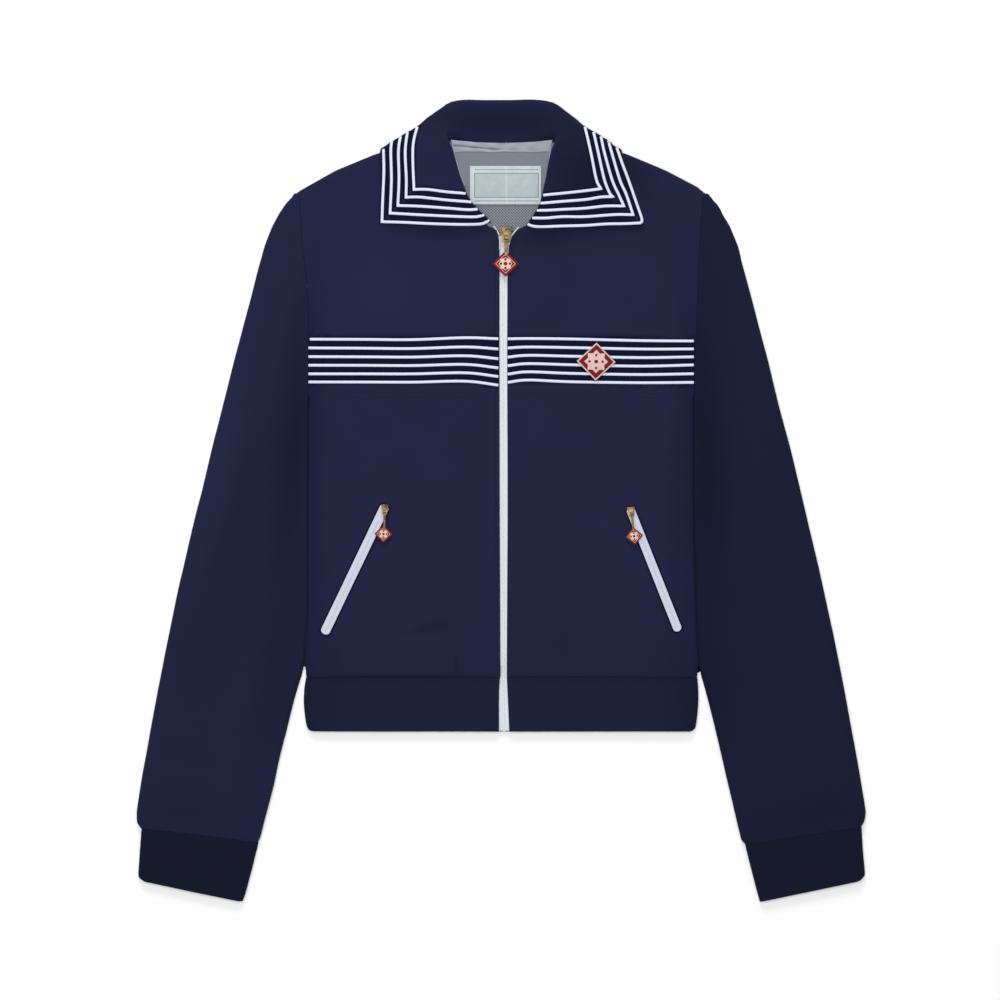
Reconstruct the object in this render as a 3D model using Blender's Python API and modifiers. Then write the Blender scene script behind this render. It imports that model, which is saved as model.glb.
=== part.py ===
"""A zip-up track jacket of plain knit, laid flat on its back.

+X is the wearer's left, +Y the head, +Z up from the surface that the jacket lies on. All sizes and
tables are in millimetres and become metres where a mesh is made. "right" and "left" are the wearer's.
The back panel, the undersides of the sleeves and the folded-under collar leaf rest on the surface, the
front panels lie over the back, and what is sewn on a panel is made from that panel's own heights.
"""

import math
from collections import namedtuple

import bmesh
import bpy
from mathutils import Matrix, Vector
from mathutils.bvhtree import BVHTree

MM = 0.001

# Cloth
CLOTH = 2.0            # wall of the body, sleeves and collar
BAND = 2.4             # wall of the folded cuffs and waistband
LIGHT = 1.0            # neck lining, tapes and label
BRAID = 0.8            # thickness of the narrow braid
SEAM = 0.3             # gap between two pieces at a seam
TURN = 7.0             # how far in from a fold the cloth turns over
FOLD_BEND = 2.2        # tightest outer bend of a laid tube's folds
BODY_TOP = 7.3         # height of the laid body
BODY_FOLD = 3.7        # height of the side and shoulder seams
BAND_TOP = 6.6         # height of the laid waistband
UNDERARM = 96.6        # y of the foot of the armholes
BODY_HEM = -165.4      # y where the body meets the waistband
BAND_HEM = -216.4      # y of the waistband's lower edge
LEAF_RAISE = 2.3       # how far the collar leaf behind the neck raises the back panel
FRONT_RAISE = 1.5      # and the front panels over it

Level = namedtuple("Level", "y right left")
Across = namedtuple("Across", "x y")
Ring = namedtuple("Ring", "out_x out_y in_x in_y out_top in_top")
Fold = namedtuple("Fold", "x0 y0 x1 y1 half height")
Braid = namedtuple("Braid", "right_side right_mid right_zip left_zip left_near left_side")
Key = namedtuple("Key", (
    "s", "roll_x", "roll_y", "edge_x", "edge_y", "hem_x", "hem_y", "bow", "stand", "turn", "reach", "seam_z",
    "roll_z", "edge_z", "wrap",
))
Slider = namedtuple("Slider", "name x y angle scale charm_y")

# The body's side edges, from the shoulder tips down, and the two edges of the cloth along the zip
ARM_TOP = 290.0
ARM_SHARES = (0.25, 0.42, 0.58, 0.75)        # where the armhole curve is drawn, from its top to the underarm
ARM_LEVELS = tuple(ARM_TOP + (UNDERARM - ARM_TOP) * share for share in ARM_SHARES)
SIDE = (
    Level(ARM_TOP, -189.2, 189.6),
    Level(ARM_LEVELS[0], -187.1, 186.2),
    Level(ARM_LEVELS[1], -182.8, 184.8),
    Level(ARM_LEVELS[2], -181.2, 183.8),
    Level(ARM_LEVELS[3], -181.2, 182.5),
    Level(UNDERARM, -181.7, 181.2),
    Level(0.0, -181.7, 180.4),
    Level(-135.0, -182.0, 184.0),
    Level(-150.0, -184.4, 185.2),
    Level(-158.0, -183.0, 184.6),
    Level(BODY_HEM, -181.0, 183.0),
)
BAND_SIDE = (
    Level(BODY_HEM, -180.9, 182.9),
    Level(-190.0, -183.5, 184.0),
    Level(-206.0, -182.4, 182.6),
    Level(BAND_HEM, -179.8, 180.7),
)
ZIP = (
    Level(256.0, -2.6, 8.6),
    Level(240.0, -1.9, 7.2),
    Level(222.0, -1.9, 5.8),
    Level(130.0, -2.2, 5.4),
    Level(0.0, -2.0, 5.9),
    Level(-150.0, -1.1, 5.2),
    Level(-164.0, -0.6, 5.2),
    Level(-169.0, -2.2, 5.4),
    Level(BAND_HEM, -2.2, 7.6),
)

# Upper edge of each front panel from the shoulder tip along the shoulder and down the neck seam,
# by the distance from the middle of the body
RIGHT_TOP = (
    Across(189.2, 290.2), Across(171.3, 299.6), Across(152.5, 309.0), Across(118.0, 323.9),
    Across(110.0, 326.0), Across(95.0, 330.0), Across(57.0, 347.0), Across(46.0, 283.0), Across(28.0, 266.5),
    Across(12.0, 258.0), Across(1.8, 253.4),
)
LEFT_TOP = (
    Across(189.6, 290.5), Across(179.3, 297.7), Across(148.3, 311.8), Across(118.0, 323.6),
    Across(110.0, 326.0), Across(95.0, 330.0), Across(57.0, 347.0), Across(50.0, 283.0), Across(36.0, 266.0),
    Across(20.0, 257.0), Across(8.7, 252.6),
)
NECK_POINT = 57.0      # where shoulder and neck seam meet, from the middle
SLANT = 0.91           # the shoulder seam's slope: distance from it over distance up the body
SHOULDER_COLUMNS = (155.0, 130.0, 116.0, 95.0)     # columns of the body panels, from the middle
BACK_NECK = (Across(57.0, 347.0), Across(42.0, 341.5), Across(20.0, 340.0), Across(0.0, 339.6))

# Soft folds that show on the fronts and sleeves: a line, its half width and its height
FOLDS = (
    Fold(-121.0, 250.0, -118.0, 20.0, 26.0, 0.45),
    Fold(-62.0, 215.0, -38.0, 30.0, 20.0, -0.40),
    Fold(-150.0, 40.0, -120.0, -120.0, 24.0, -0.35),
    Fold(120.0, 220.0, 110.0, 10.0, 28.0, -0.40),
    Fold(40.0, 200.0, 34.0, -20.0, 18.0, 0.40),
    Fold(70.0, -10.0, 96.0, -130.0, 26.0, -0.35),
    Fold(-230.0, 60.0, -300.0, -170.0, 16.0, 0.40),
    Fold(-206.0, -20.0, -262.0, -120.0, 12.0, -0.60),
    Fold(-290.0, -180.0, -240.0, -235.0, 12.0, -0.60),
    Fold(226.0, 70.0, 290.0, -150.0, 16.0, 0.40),
    Fold(205.0, -30.0, 262.0, -130.0, 12.0, -0.60),
    Fold(285.0, -190.0, 240.0, -235.0, 12.0, -0.60),
)

# Sleeve sections, armhole to cuff: where the outer and inner folds lie, and the height by each.
# in_x is None where the inner fold lies along the body.
RIGHT_SLEEVE = (
    Ring(-189.5, ARM_TOP, None, UNDERARM, 7.3, 7.3),
    Ring(-195.8, 285.1, None, 92.8, 7.3, 7.0),
    Ring(-202.3, 278.5, None, 88.1, 7.3, 6.6),
    Ring(-208.4, 268.6, None, 82.5, 7.3, 6.2),
    Ring(-214.6, 255.4, None, 75.9, 7.3, 5.9),
    Ring(-221.1, 239.5, None, 68.4, 7.3, 5.7),
    Ring(-227.2, 218.8, None, 59.9, 7.3, 5.5),
    Ring(-234.3, 188.7, None, 49.6, 7.2, 5.5),
    Ring(-241.8, 159.6, None, 37.4, 7.1, 5.5),
    Ring(-250.3, 128.5, None, 21.4, 7.0, 5.5),
    Ring(-260.1, 90.0, None, 0.7, 7.0, 5.5),
    Ring(-271.0, 46.8, None, -24.7, 7.0, 5.5),
    Ring(-280.4, 6.3, None, -51.0, 7.0, 5.5),
    Ring(-292.6, -37.8, None, -77.3, 7.0, 5.5),
    Ring(-304.3, -82.0, None, -105.5, 7.0, 5.6),
    Ring(-314.2, -127.1, -185.9, -150.6, 7.1, 5.8),
    Ring(-322.7, -176.0, -202.1, -199.5, 7.1, 6.4),
    Ring(-330.6, -220.2, -212.3, -240.9, 7.2, 6.8),
    Ring(-336.8, -257.8, -218.8, -273.8, 7.3, 7.1),
    Ring(-341.3, -292.0, -225.4, -305.0, 7.4, 7.4),
    Ring(-340.9, -301.9, -227.6, -316.0, 7.2, 7.2),
    Ring(-336.8, -307.6, -229.6, -321.0, 6.6, 6.6),
)
LEFT_SLEEVE = (
    Ring(189.9, ARM_TOP, None, UNDERARM, 7.3, 7.3),
    Ring(195.3, 286.5, None, 92.8, 7.3, 7.0),
    Ring(200.9, 279.9, None, 88.1, 7.3, 6.6),
    Ring(207.5, 269.5, None, 82.5, 7.3, 6.2),
    Ring(214.1, 257.3, None, 75.9, 7.3, 5.9),
    Ring(220.7, 242.3, None, 68.4, 7.3, 5.7),
    Ring(225.4, 224.4, None, 59.9, 7.3, 5.5),
    Ring(232.9, 195.3, None, 49.6, 7.2, 5.5),
    Ring(240.4, 165.2, None, 37.4, 7.1, 5.5),
    Ring(249.3, 132.3, None, 21.4, 7.0, 5.5),
    Ring(259.2, 91.9, None, 0.7, 7.0, 5.5),
    Ring(270.5, 50.5, None, -24.7, 7.0, 5.5),
    Ring(279.9, 10.1, None, -51.0, 7.0, 5.5),
    Ring(289.3, -32.2, None, -77.3, 7.0, 5.5),
    Ring(299.6, -77.3, None, -105.5, 7.0, 5.6),
    Ring(310.0, -125.3, 186.2, -150.6, 7.1, 5.8),
    Ring(319.4, -176.0, 198.6, -197.6, 7.1, 6.4),
    Ring(327.8, -221.1, 209.4, -240.9, 7.2, 6.8),
    Ring(335.3, -259.7, 217.4, -274.7, 7.3, 7.1),
    Ring(341.0, -292.0, 224.6, -307.0, 7.4, 7.4),
    Ring(339.8, -301.2, 227.4, -318.0, 7.2, 7.2),
    Ring(336.8, -306.7, 231.5, -322.8, 6.6, 6.6),
)
RIGHT_CUFF = (
    Ring(-335.7, -308.6, -229.3, -321.6, 6.2, 6.2),
    Ring(-337.9, -330.0, -233.6, -340.6, 6.6, 6.6),
    Ring(-339.9, -353.5, -240.6, -366.6, 6.6, 6.6),
    Ring(-338.9, -356.6, -243.7, -375.8, 6.4, 6.4),
)
LEFT_CUFF = (
    Ring(337.0, -307.7, 231.6, -323.4, 6.2, 6.2),
    Ring(338.6, -330.0, 235.6, -340.6, 6.6, 6.6),
    Ring(340.8, -352.5, 241.8, -366.0, 6.6, 6.6),
    Ring(340.2, -355.4, 244.4, -375.8, 6.4, 6.4),
)

# Six rows of braid over the chest: the middle of each at six places from side to side
CHEST_BRAIDS = (
    Braid(151.8, 150.8, 152.8, 152.3, 152.3, 150.1),
    Braid(143.6, 142.4, 143.3, 143.7, 144.2, 142.6),
    Braid(135.4, 134.1, 134.3, 135.1, 136.0, 135.2),
    Braid(127.3, 126.0, 125.9, 126.9, 128.0, 127.6),
    Braid(119.2, 118.2, 117.9, 119.0, 120.2, 119.3),
    Braid(111.6, 111.0, 110.3, 111.4, 112.4, 111.2),
)
BRAID_WIDE = 3.8
BRAID_EDGES = (0.1, 3.9, 7.2, 11.0, 14.3, 18.1, 21.4, 25.2, 28.5, 32.3)     # rows along the leaf's long edge
BRAID_STEPS = (0.0, 3.8, 8.0, 11.8, 16.0, 19.8, 24.2, 28.0, 32.4, 36.2)     # and along its front edge

# Where the collar's braids end at the shoulder outline, outermost first
BRAID_ENDS = {
    -1: (Across(-110.5, 326.6), Across(-102.4, 331.8), Across(-94.7, 339.6), Across(-88.1, 342.8),
         Across(-79.2, 348.6)),
    1: (Across(108.9, 326.2), Across(100.7, 334.2), Across(93.4, 340.4), Across(86.3, 344.6),
        Across(77.8, 349.2)),
}
BRAID_LIFT = 0.9       # gap below the braid where the leaf bends
BRAID_SLOPE = 0.62     # the steepest cloth that a braid's end lies on at the shoulder, by its normal's rise
BRAID_STOP = 0.55      # and at the neck

# The collar, front end (s = 0) to the middle of the back, s along the leaf's outer edge. roll is where
# it turns over beside the neck, edge its outline seen from above, hem the outer edge of the leaf where
# it is folded under. stand is the hidden strip below the roll, turn how far round the roll goes. wrap is
# how far the leaf turns under its outline: below 0 it only droops over the shoulder, 1 lies underneath.
RIGHT_COLLAR = (
    Key(0.0, -9.4, 262.2, -114.4, 260.9, None, None, 5.2, 3.0, 180.0, 3.0, 6.4, 11.6, None, None),
    Key(8.0, -13.9, 266.7, -114.3, 269.1, None, None, 4.2, 6.0, 180.0, 3.1, 6.4, 11.9, None, None),
    Key(16.0, -20.0, 272.3, -113.9, 277.1, None, None, 2.8, 9.0, 180.0, 3.2, 6.4, 12.2, None, None),
    Key(24.2, -26.6, 279.0, -113.5, 285.2, None, None, 1.5, 12.0, 180.0, 3.3, 6.4, 12.6, None, None),
    Key(32.4, -31.7, 286.5, -113.1, 293.3, None, None, 0.5, 14.0, 180.0, 3.4, 6.4, 13.2, None, None),
    Key(50.0, -38.3, 303.4, -112.8, 310.9, None, None, 0.0, 15.0, 180.0, 3.7, 6.4, 14.6, None, None),
    Key(64.0, -42.5, 318.4, -113.0, 324.6, None, None, 0.0, 14.0, 180.0, 4.0, 6.4, 15.8, None, None),
    Key(69.0, -43.5, 322.6, -112.2, 329.2, -112.2, 326.2, 0.0, 13.0, 180.0, 4.0, 6.4, 16.2, 11.4, -0.6),
    Key(76.0, -44.6, 326.5, -105.8, 334.9, -105.8, 331.9, 0.0, 11.0, 180.0, 4.0, 6.4, 16.6, 11.4, 0.55),
    Key(93.0, -46.0, 331.5, -91.5, 344.5, -94.0, 330.0, 0.0, 8.0, 170.0, 4.2, 6.4, 17.0, 11.4, 1.0),
    Key(108.0, -47.0, 334.6, -79.0, 351.8, -74.5, 325.3, 0.0, 4.0, 145.0, 4.6, 6.3, 17.0, 11.2, 1.0),
    Key(124.0, -47.8, 336.8, -68.0, 361.3, -62.0, 323.8, 0.0, 1.5, 115.0, 5.6, 6.1, 16.0, 10.4, 1.0),
    Key(138.0, -47.5, 337.6, -57.0, 368.5, -49.0, 322.3, 0.0, 0.0, 85.0, 8.0, 6.2, 13.6, 9.0, 1.0),
    Key(151.0, -44.0, 337.9, -46.0, 375.2, -38.0, 321.8, 0.0, 0.0, 55.0, 12.0, 6.6, 10.4, 7.6, 1.0),
    Key(165.0, -28.0, 337.2, -26.0, 376.5, -21.0, 321.3, 0.0, 0.0, 25.0, 14.0, 6.8, 7.9, 6.6, 1.0),
    Key(181.0, 0.2, 336.4, 0.6, 376.3, 0.0, 321.1, 0.0, 0.0, 0.0, 14.0, 6.9, 6.9, 6.4, 1.0),
)
LEFT_COLLAR = (
    Key(0.0, 23.3, 261.0, 134.0, 258.4, None, None, 2.4, 3.0, 180.0, 2.0, 6.4, 11.6, None, None),
    Key(8.0, 28.0, 266.3, 132.3, 266.7, None, None, 2.0, 6.0, 180.0, 2.6, 6.4, 11.9, None, None),
    Key(16.0, 32.2, 271.9, 130.0, 274.7, None, None, 1.5, 9.0, 180.0, 3.2, 6.4, 12.2, None, None),
    Key(24.2, 36.0, 278.9, 126.7, 283.2, None, None, 1.0, 12.0, 180.0, 3.3, 6.4, 12.6, None, None),
    Key(32.4, 38.0, 286.0, 123.4, 291.2, None, None, 0.5, 14.0, 180.0, 3.4, 6.4, 13.2, None, None),
    Key(50.0, 41.8, 303.4, 116.8, 307.1, None, None, 0.0, 15.0, 180.0, 3.7, 6.4, 14.6, None, None),
    Key(66.0, 44.5, 319.4, 111.4, 322.6, None, None, 0.0, 14.0, 180.0, 4.0, 6.4, 15.8, None, None),
    Key(71.0, 45.2, 322.7, 111.6, 329.2, 111.6, 326.2, 0.0, 13.0, 180.0, 4.0, 6.4, 16.2, 11.4, -0.6),
    Key(78.0, 45.9, 327.0, 104.0, 336.6, 104.0, 333.6, 0.0, 11.0, 180.0, 4.0, 6.4, 16.6, 11.4, 0.55),
    Key(94.0, 46.9, 331.7, 90.5, 345.4, 93.0, 330.8, 0.0, 8.0, 170.0, 4.2, 6.4, 17.0, 11.4, 1.0),
    Key(109.0, 47.8, 334.6, 78.0, 352.4, 73.5, 325.6, 0.0, 4.0, 145.0, 4.6, 6.3, 17.0, 11.2, 1.0),
    Key(125.0, 48.4, 336.6, 69.0, 360.3, 62.5, 323.6, 0.0, 1.5, 115.0, 5.6, 6.1, 16.0, 10.4, 1.0),
    Key(139.0, 48.0, 337.4, 58.0, 368.0, 50.0, 322.3, 0.0, 0.0, 85.0, 8.0, 6.2, 13.6, 9.0, 1.0),
    Key(152.0, 44.5, 337.7, 48.0, 375.0, 40.0, 321.8, 0.0, 0.0, 55.0, 12.0, 6.6, 10.4, 7.6, 1.0),
    Key(166.0, 28.0, 337.1, 26.0, 376.4, 21.0, 321.3, 0.0, 0.0, 25.0, 14.0, 6.8, 7.9, 6.6, 1.0),
)
COLLAR_FRONT_ROWS = (43.0, 51.0, 59.0, 64.0)
COLLAR_BACK_ROWS = (69.0, 72.5, 76.5, 81.0, 87.0, 94.0, 102.0, 111.0, 121.0, 132.0, 145.0, 162.0)
COLLAR_INNER = 12      # grid columns between the braided part of the leaf and the neck seam
NECK_ROUND = 16.0      # least width of the strip beside the neck seam
UNDER_TURN = 6.0       # how far in from its outline the leaf turns under
UNDER_RUN = 24.0       # length of the leaf's edge over which it comes to lie turned under
LEFT_AHEAD = Across(90.0, 1.0)     # past the first distance, the wearer's left half is this much longer
LEFT_FIRST = 2.0       # and before it this much
WALK_STEPS = 240       # steps in which a station's bends are measured
BEND_WEIGHT = 14.0     # millimetres of cloth that a radian of bend counts for

# Things sewn on or let into the fronts
PATCH = (89.1, 130.7)
PATCH_WIDE = 36.7
PATCH_TALL = 35.8
PATCH_THICK = 1.4
LABEL_LOW = (-29.4, 278.9)
LABEL_HIGH = (37.4, 314.7)
TAPE_LOW = 327.0
TAPE_HIGH = 335.6
POCKET_TAPES = (
    ("right", (-108.6, -4.0), (-165.0, -124.0), 8.6),
    ("left", (120.6, -6.5), (166.6, -122.6), 7.8),
)
SLIDERS = (
    Slider("zip", 4.6, 257.0, 0.0, 1.0, 222.5),
    Slider("pocket_right", -109.2, -3.6, -2.0, 0.62, -31.6),
    Slider("pocket_left", 121.5, -6.0, 7.0, 0.62, -33.6),
)

# A slider of scale 1 with its pull and charm, from the slider's upper end
SLIDER_WIDE = 11.6
SLIDER_LONG = 14.0
SLIDER_HIGH = 2.2
SLIDER_TAPER = 0.62    # width of its lower end over that of its upper end
SLIDER_NECK = (5.0, 11.0, 1.6)     # the part between the tapes: across, along, up
EAR_WIDE = 1.3
EAR_LONG = 3.4
EAR_APART = 2.9        # each ear from the middle
PIN_BACK = 10.5        # the cross bar's distance down the slider
PIN_UP = 2.3           # and its height over the slider's top
PIN_RADIUS = 0.8
PIN_LONG = 6.0
EYE_RADIUS = 1.9       # the pull's round eye, on the cross bar
EYE_WIDE = 3.6
ARM_WIDE = 3.4         # the pull's arm, from the eye down to the charm
ARM_HIGH = 1.2
SMALL_CHARM = 0.65     # span of a pocket charm over the front one's
SMALL_THICK = 0.8      # and its thickness
CHARM_SPAN = 25.4      # corner to corner
CHARM_THICK = 2.2


# ---------------------------------------------------------------- small maths

def mix(a, b, t):
    """The value a fraction t of the way from a to b."""
    return a + (b - a) * t


def clamp(t):
    """t held between 0 and 1."""
    return min(1.0, max(0.0, t))


def ease(t):
    """A smooth step from 0 to 1."""
    t = clamp(t)
    return t * t * (3.0 - 2.0 * t)


def rounding(distance, reach=TURN):
    """Height share of cloth a distance in from a fold: a quarter ellipse, 0 at the fold, 1 past its reach."""
    t = clamp(distance / reach)
    return math.sqrt(1.0 - (1.0 - t) ** 2)


def read(table, key, value, name):
    """The named column of a table where its key column has a value, on straight lines between rows."""
    rows = sorted(table, key=lambda row: getattr(row, key))
    if value <= getattr(rows[0], key):
        return getattr(rows[0], name)
    for low, high in zip(rows, rows[1:]):
        end = getattr(high, key)
        if value <= end:
            start = getattr(low, key)
            return mix(getattr(low, name), getattr(high, name), (value - start) / (end - start))
    return getattr(rows[-1], name)


def spread(low, high, count):
    """count even values from low to high."""
    return [mix(low, high, i / (count - 1)) for i in range(count)]


# ---------------------------------------------------------------- heights of the laid body

def leaf_hem(x):
    """y of the hidden outer edge of the collar leaf behind the neck."""
    return 321.0 + 9.0 * (abs(x) / 94.0) ** 3 + 0.9 * max(0.0, abs(x) - 94.0)


def raised(x, y):
    """0 to 1: how far the folded-under collar leaf raises the body at a point."""
    return 1.0 - ease((leaf_hem(x) - y - 22.0) / 24.0)


def soft_folds(x, y):
    """Sum of the soft folds at a point."""
    total = 0.0
    for fold in FOLDS:
        start = Vector((fold.x0, fold.y0))
        run = Vector((fold.x1, fold.y1)) - start
        share = (Vector((x, y)) - start).dot(run) / run.length_squared
        nearest = start + run * clamp(share)
        away = (Vector((x, y)) - nearest).length
        total += fold.height * math.exp(-(away / fold.half) ** 2)
    return total


def front_height(x, y):
    """Height of the front panels' upper face, away from their folds."""
    along_zip = 0.5 * math.exp(-(abs(x - 2.0) / 12.0) ** 2)
    return BODY_TOP + FRONT_RAISE * raised(x, y) + soft_folds(x, y) + along_zip


def seam_height(x, y):
    """Height of the seam where front and back panels meet."""
    return BODY_FOLD + 0.5 * (LEAF_RAISE + FRONT_RAISE) * raised(x, y)


def side_name(side):
    """The wearer's side that a sign stands for."""
    return "right" if side < 0 else "left"


# ---------------------------------------------------------------- making objects

def collection(name):
    """A new collection in the scene."""
    made = bpy.data.collections.new(name)
    bpy.context.scene.collection.children.link(made)
    return made


def finish(name, colour, roughness, metallic=0.0):
    """A Principled material."""
    made = bpy.data.materials.new(name)
    made.use_nodes = True
    shader = made.node_tree.nodes["Principled BSDF"]
    shader.inputs["Base Color"].default_value = (*colour, 1.0)
    shader.inputs["Roughness"].default_value = roughness
    shader.inputs["Metallic"].default_value = metallic
    return made


def mesh_object(name, points, faces, dress):
    """An object from points in millimetres."""
    mesh = bpy.data.meshes.new(name)
    mesh.from_pydata([Vector(p) * MM for p in points], [], faces)
    mesh.materials.append(dress)
    mesh.shade_smooth()
    mesh.set_sharp_from_angle(angle=math.radians(50))
    made = bpy.data.objects.new(name, mesh)
    JACKET.objects.link(made)
    return made


def grid_faces(rows, columns, closed=False, flip=False):
    """Faces of a grid, closed round its columns for a tube."""
    faces = []
    for i in range(rows - 1):
        for j in range(columns if closed else columns - 1):
            k = (j + 1) % columns
            face = (i * columns + j, i * columns + k, (i + 1) * columns + k, (i + 1) * columns + j)
            faces.append(face[::-1] if flip else face)
    return faces


def sheet(name, rows, wall, dress, inward=True, flip=False):
    """Cloth with a given outer face (or inner, when not inward) and wall."""
    points = [point for row in rows for point in row]
    made = mesh_object(name, points, grid_faces(len(rows), len(rows[0]), flip=flip), dress)
    thicken(made, wall, inward)
    return made


def thicken(made, wall, inward=True):
    """Give an open surface its wall."""
    solidify = made.modifiers.new("Wall", "SOLIDIFY")
    solidify.thickness = wall * MM
    solidify.offset = -1.0 if inward else 1.0
    solidify.use_quality_normals = True


def lofted(name, outer, inner, dress, closed=False, flip=False):
    """Cloth lofted between the rows of its outer and inner faces, so that its cut edges lie in the seams."""
    count, columns = len(outer), len(outer[0])
    faces = grid_faces(count, columns, closed, flip)
    size = count * columns
    walls = faces + [tuple(size + k for k in reversed(face)) for face in faces]
    first = list(range(columns))
    last = [(count - 1) * columns + j for j in range(columns)]
    if closed:
        loops = [first + first[:1], last[::-1] + last[-1:]]
    else:
        right_rim = [i * columns + columns - 1 for i in range(1, count)]
        left_rim = [i * columns for i in range(count - 2, -1, -1)]
        loops = [first + right_rim + last[::-1][1:] + left_rim]
    for loop in loops:
        for a, b in zip(loop, loop[1:]):
            face = (b, a, size + a, size + b)
            walls.append(face[::-1] if flip else face)
    points = [point for rows in (outer, inner) for row in rows for point in row]
    return mesh_object(name, points, walls, dress)


# ---------------------------------------------------------------- body panels

def top_edge(side, x):
    """y of a front panel's upper edge at a distance from the middle."""
    return read(RIGHT_TOP if side < 0 else LEFT_TOP, "x", x, "y")


def column_head(side, share):
    """Head of a front panel's column: share 0 at the side edge, 1 at the zip."""
    low, high = 200.0, 360.0
    for _ in range(30):
        y = 0.5 * (low + high)
        if y < top_edge(side, abs(column_x(side, share, y))):
            low = y
        else:
            high = y
    return low


def column_x(side, share, y):
    """x of a front panel's column at a height up the body."""
    name = side_name(side)
    return mix(read(SIDE, "y", y, name), read(ZIP, "y", y, name), share)


def column_share(side, x, y):
    """The column that passes a distance x from the middle at a height up the body."""
    name = side_name(side)
    edge = read(SIDE, "y", y, name)
    return (side * x - edge) / (read(ZIP, "y", y, name) - edge)


def open_armhole(y):
    """0 below the underarm, where the edge is a fold, to 1 up the armhole, where the sleeve carries on."""
    return rounding(max(0.0, y - UNDERARM))


def fold_shift(distance, inset):
    """How far the inner face stands in from the outer one, a distance in from a fold."""
    return inset * (1.0 - clamp(distance / TURN))


def front_point(side, share, y, head, inset=0.0):
    """A point of a front panel's upper face, or of its lower face when inset by the wall."""
    x = column_x(side, share, y)
    edge = abs(x - read(SIDE, "y", y, side_name(side)))
    closed = 1.0 - open_armhole(y)
    over = 1.0 - (1.0 - rounding(edge)) * closed
    inner_x = x - side * fold_shift(edge, inset) * closed
    inner_y = y
    if abs(x) > NECK_POINT + 1.0:
        below = (head - y) * SLANT
        over *= rounding(below)
        inner_y -= fold_shift(below, inset)
    return (inner_x, inner_y, mix(seam_height(x, y), front_height(x, y) - inset, over))


def face_tree(rows):
    """A face to drop heights on."""
    points = [Vector(point) for row in rows for point in row]
    return BVHTree.FromPolygons(points, grid_faces(len(rows), len(rows[0])))


def on_front(x, y, up=0.0):
    """A point above the fronts as they are made."""
    side = -1 if x < zip_middle(y) else 1
    hit = FRONT_FACES[side].ray_cast(Vector((x, y, 90.0)), Vector((0.0, 0.0, -1.0)))[0]
    return Vector((x, y, (hit.z if hit else front_height(x, y)) + up))


def panel_plan(levels, parts, turns, columns):
    """Where a body panel's grid lies: rows at levels, rows up to the shoulder, rows over its turn."""
    plan = [[(share, y, head) for share, head in columns] for y in levels]
    for part in parts:
        plan.append([(share, mix(levels[-1], head - TURN / SLANT, part), head) for share, head in columns])
    for turn in turns:
        plan.append([(share, head - turn * TURN / SLANT, head) for share, head in columns])
    return plan


def front_panel(side):
    """One front, from the waistband seam to the shoulder and neck seams."""
    width = 181.0
    top = RIGHT_TOP if side < 0 else LEFT_TOP
    shares = [0.0, 0.13 * TURN / width, 0.5 * TURN / width, TURN / width]
    shares += [column_share(side, x, top_edge(side, x)) for x in SHOULDER_COLUMNS]
    shares += [column_share(side, row.x, row.y) for row in top[-5:-1]] + [1.0]
    levels = [BODY_HEM, -158.0, -150.0, -135.0, -112.0, -78.0, -44.0, -10.0, 24.0, 58.0, 84.0, UNDERARM,
              UNDERARM + 0.13 * TURN, UNDERARM + 0.5 * TURN, UNDERARM + TURN, *reversed(ARM_LEVELS)]
    columns = [(share, column_head(side, share)) for share in shares]
    plan = panel_plan(levels, (0.25, 0.5, 0.75, 1.0), (0.5, 0.13, 0.0), columns)
    outer = [[front_point(side, *spot) for spot in row] for row in plan]
    inner = [[front_point(side, *spot, inset=CLOTH) for spot in row] for row in plan]
    FRONT_FACES[side] = face_tree(outer)
    return lofted("front_" + side_name(side), outer, inner, KNIT, flip=side > 0)


def back_top(x):
    """y of the back panel's upper edge."""
    if abs(x) < NECK_POINT:
        return read(BACK_NECK, "x", abs(x), "y")
    return top_edge(-1 if x < 0 else 1, abs(x))


def back_point(share, y, head, inset=0.0):
    """A point of the back's lower face, or upper face when inset; share 0 is the right edge, 1 the left."""
    right, left = read(SIDE, "y", y, "right"), read(SIDE, "y", y, "left")
    x = mix(right, left, share)
    edge = min(x - right, left - x)
    closed = 1.0 - open_armhole(y)
    over = 1.0 - (1.0 - rounding(edge)) * closed
    inner_x = x + (1.0 if share < 0.5 else -1.0) * fold_shift(edge, inset) * closed
    inner_y = y
    if abs(x) > NECK_POINT - 1.0:
        below = (head - y) * SLANT
        over *= rounding(below)
        inner_y -= fold_shift(below, inset)
    floor = LEAF_RAISE * raised(x, y) + inset
    return (inner_x, inner_y, mix(seam_height(x, y) - SEAM, floor, over))


def back_head(share):
    """Head of one of the back's columns."""
    low, high = 200.0, 360.0
    for _ in range(30):
        y = 0.5 * (low + high)
        x = mix(read(SIDE, "y", y, "right"), read(SIDE, "y", y, "left"), share)
        low, high = (y, high) if y < back_top(x) else (low, y)
    return low


def back_panel():
    """The back, face down."""
    width = 370.0
    edge = [0.0, 0.2 * TURN / width, TURN / width]
    half = edge + [0.5 - x / 376.0 for x in (*SHOULDER_COLUMNS, NECK_POINT, 28.0)]
    shares = half + [0.5] + [1.0 - share for share in reversed(half)]
    levels = [BODY_HEM, -158.0, -150.0, -135.0, 0.0, UNDERARM, UNDERARM + 0.2 * TURN, UNDERARM + TURN,
              *reversed(ARM_LEVELS)]
    columns = [(share, back_head(share)) for share in shares]
    plan = panel_plan(levels, (0.3, 0.42, 0.54, 0.66, 0.78, 1.0), (0.2, 0.0), columns)
    outer = [[back_point(*spot) for spot in row] for row in plan]
    inner = [[back_point(*spot, inset=CLOTH) for spot in row] for row in plan]
    return lofted("back", outer, inner, KNIT, flip=True)


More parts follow.
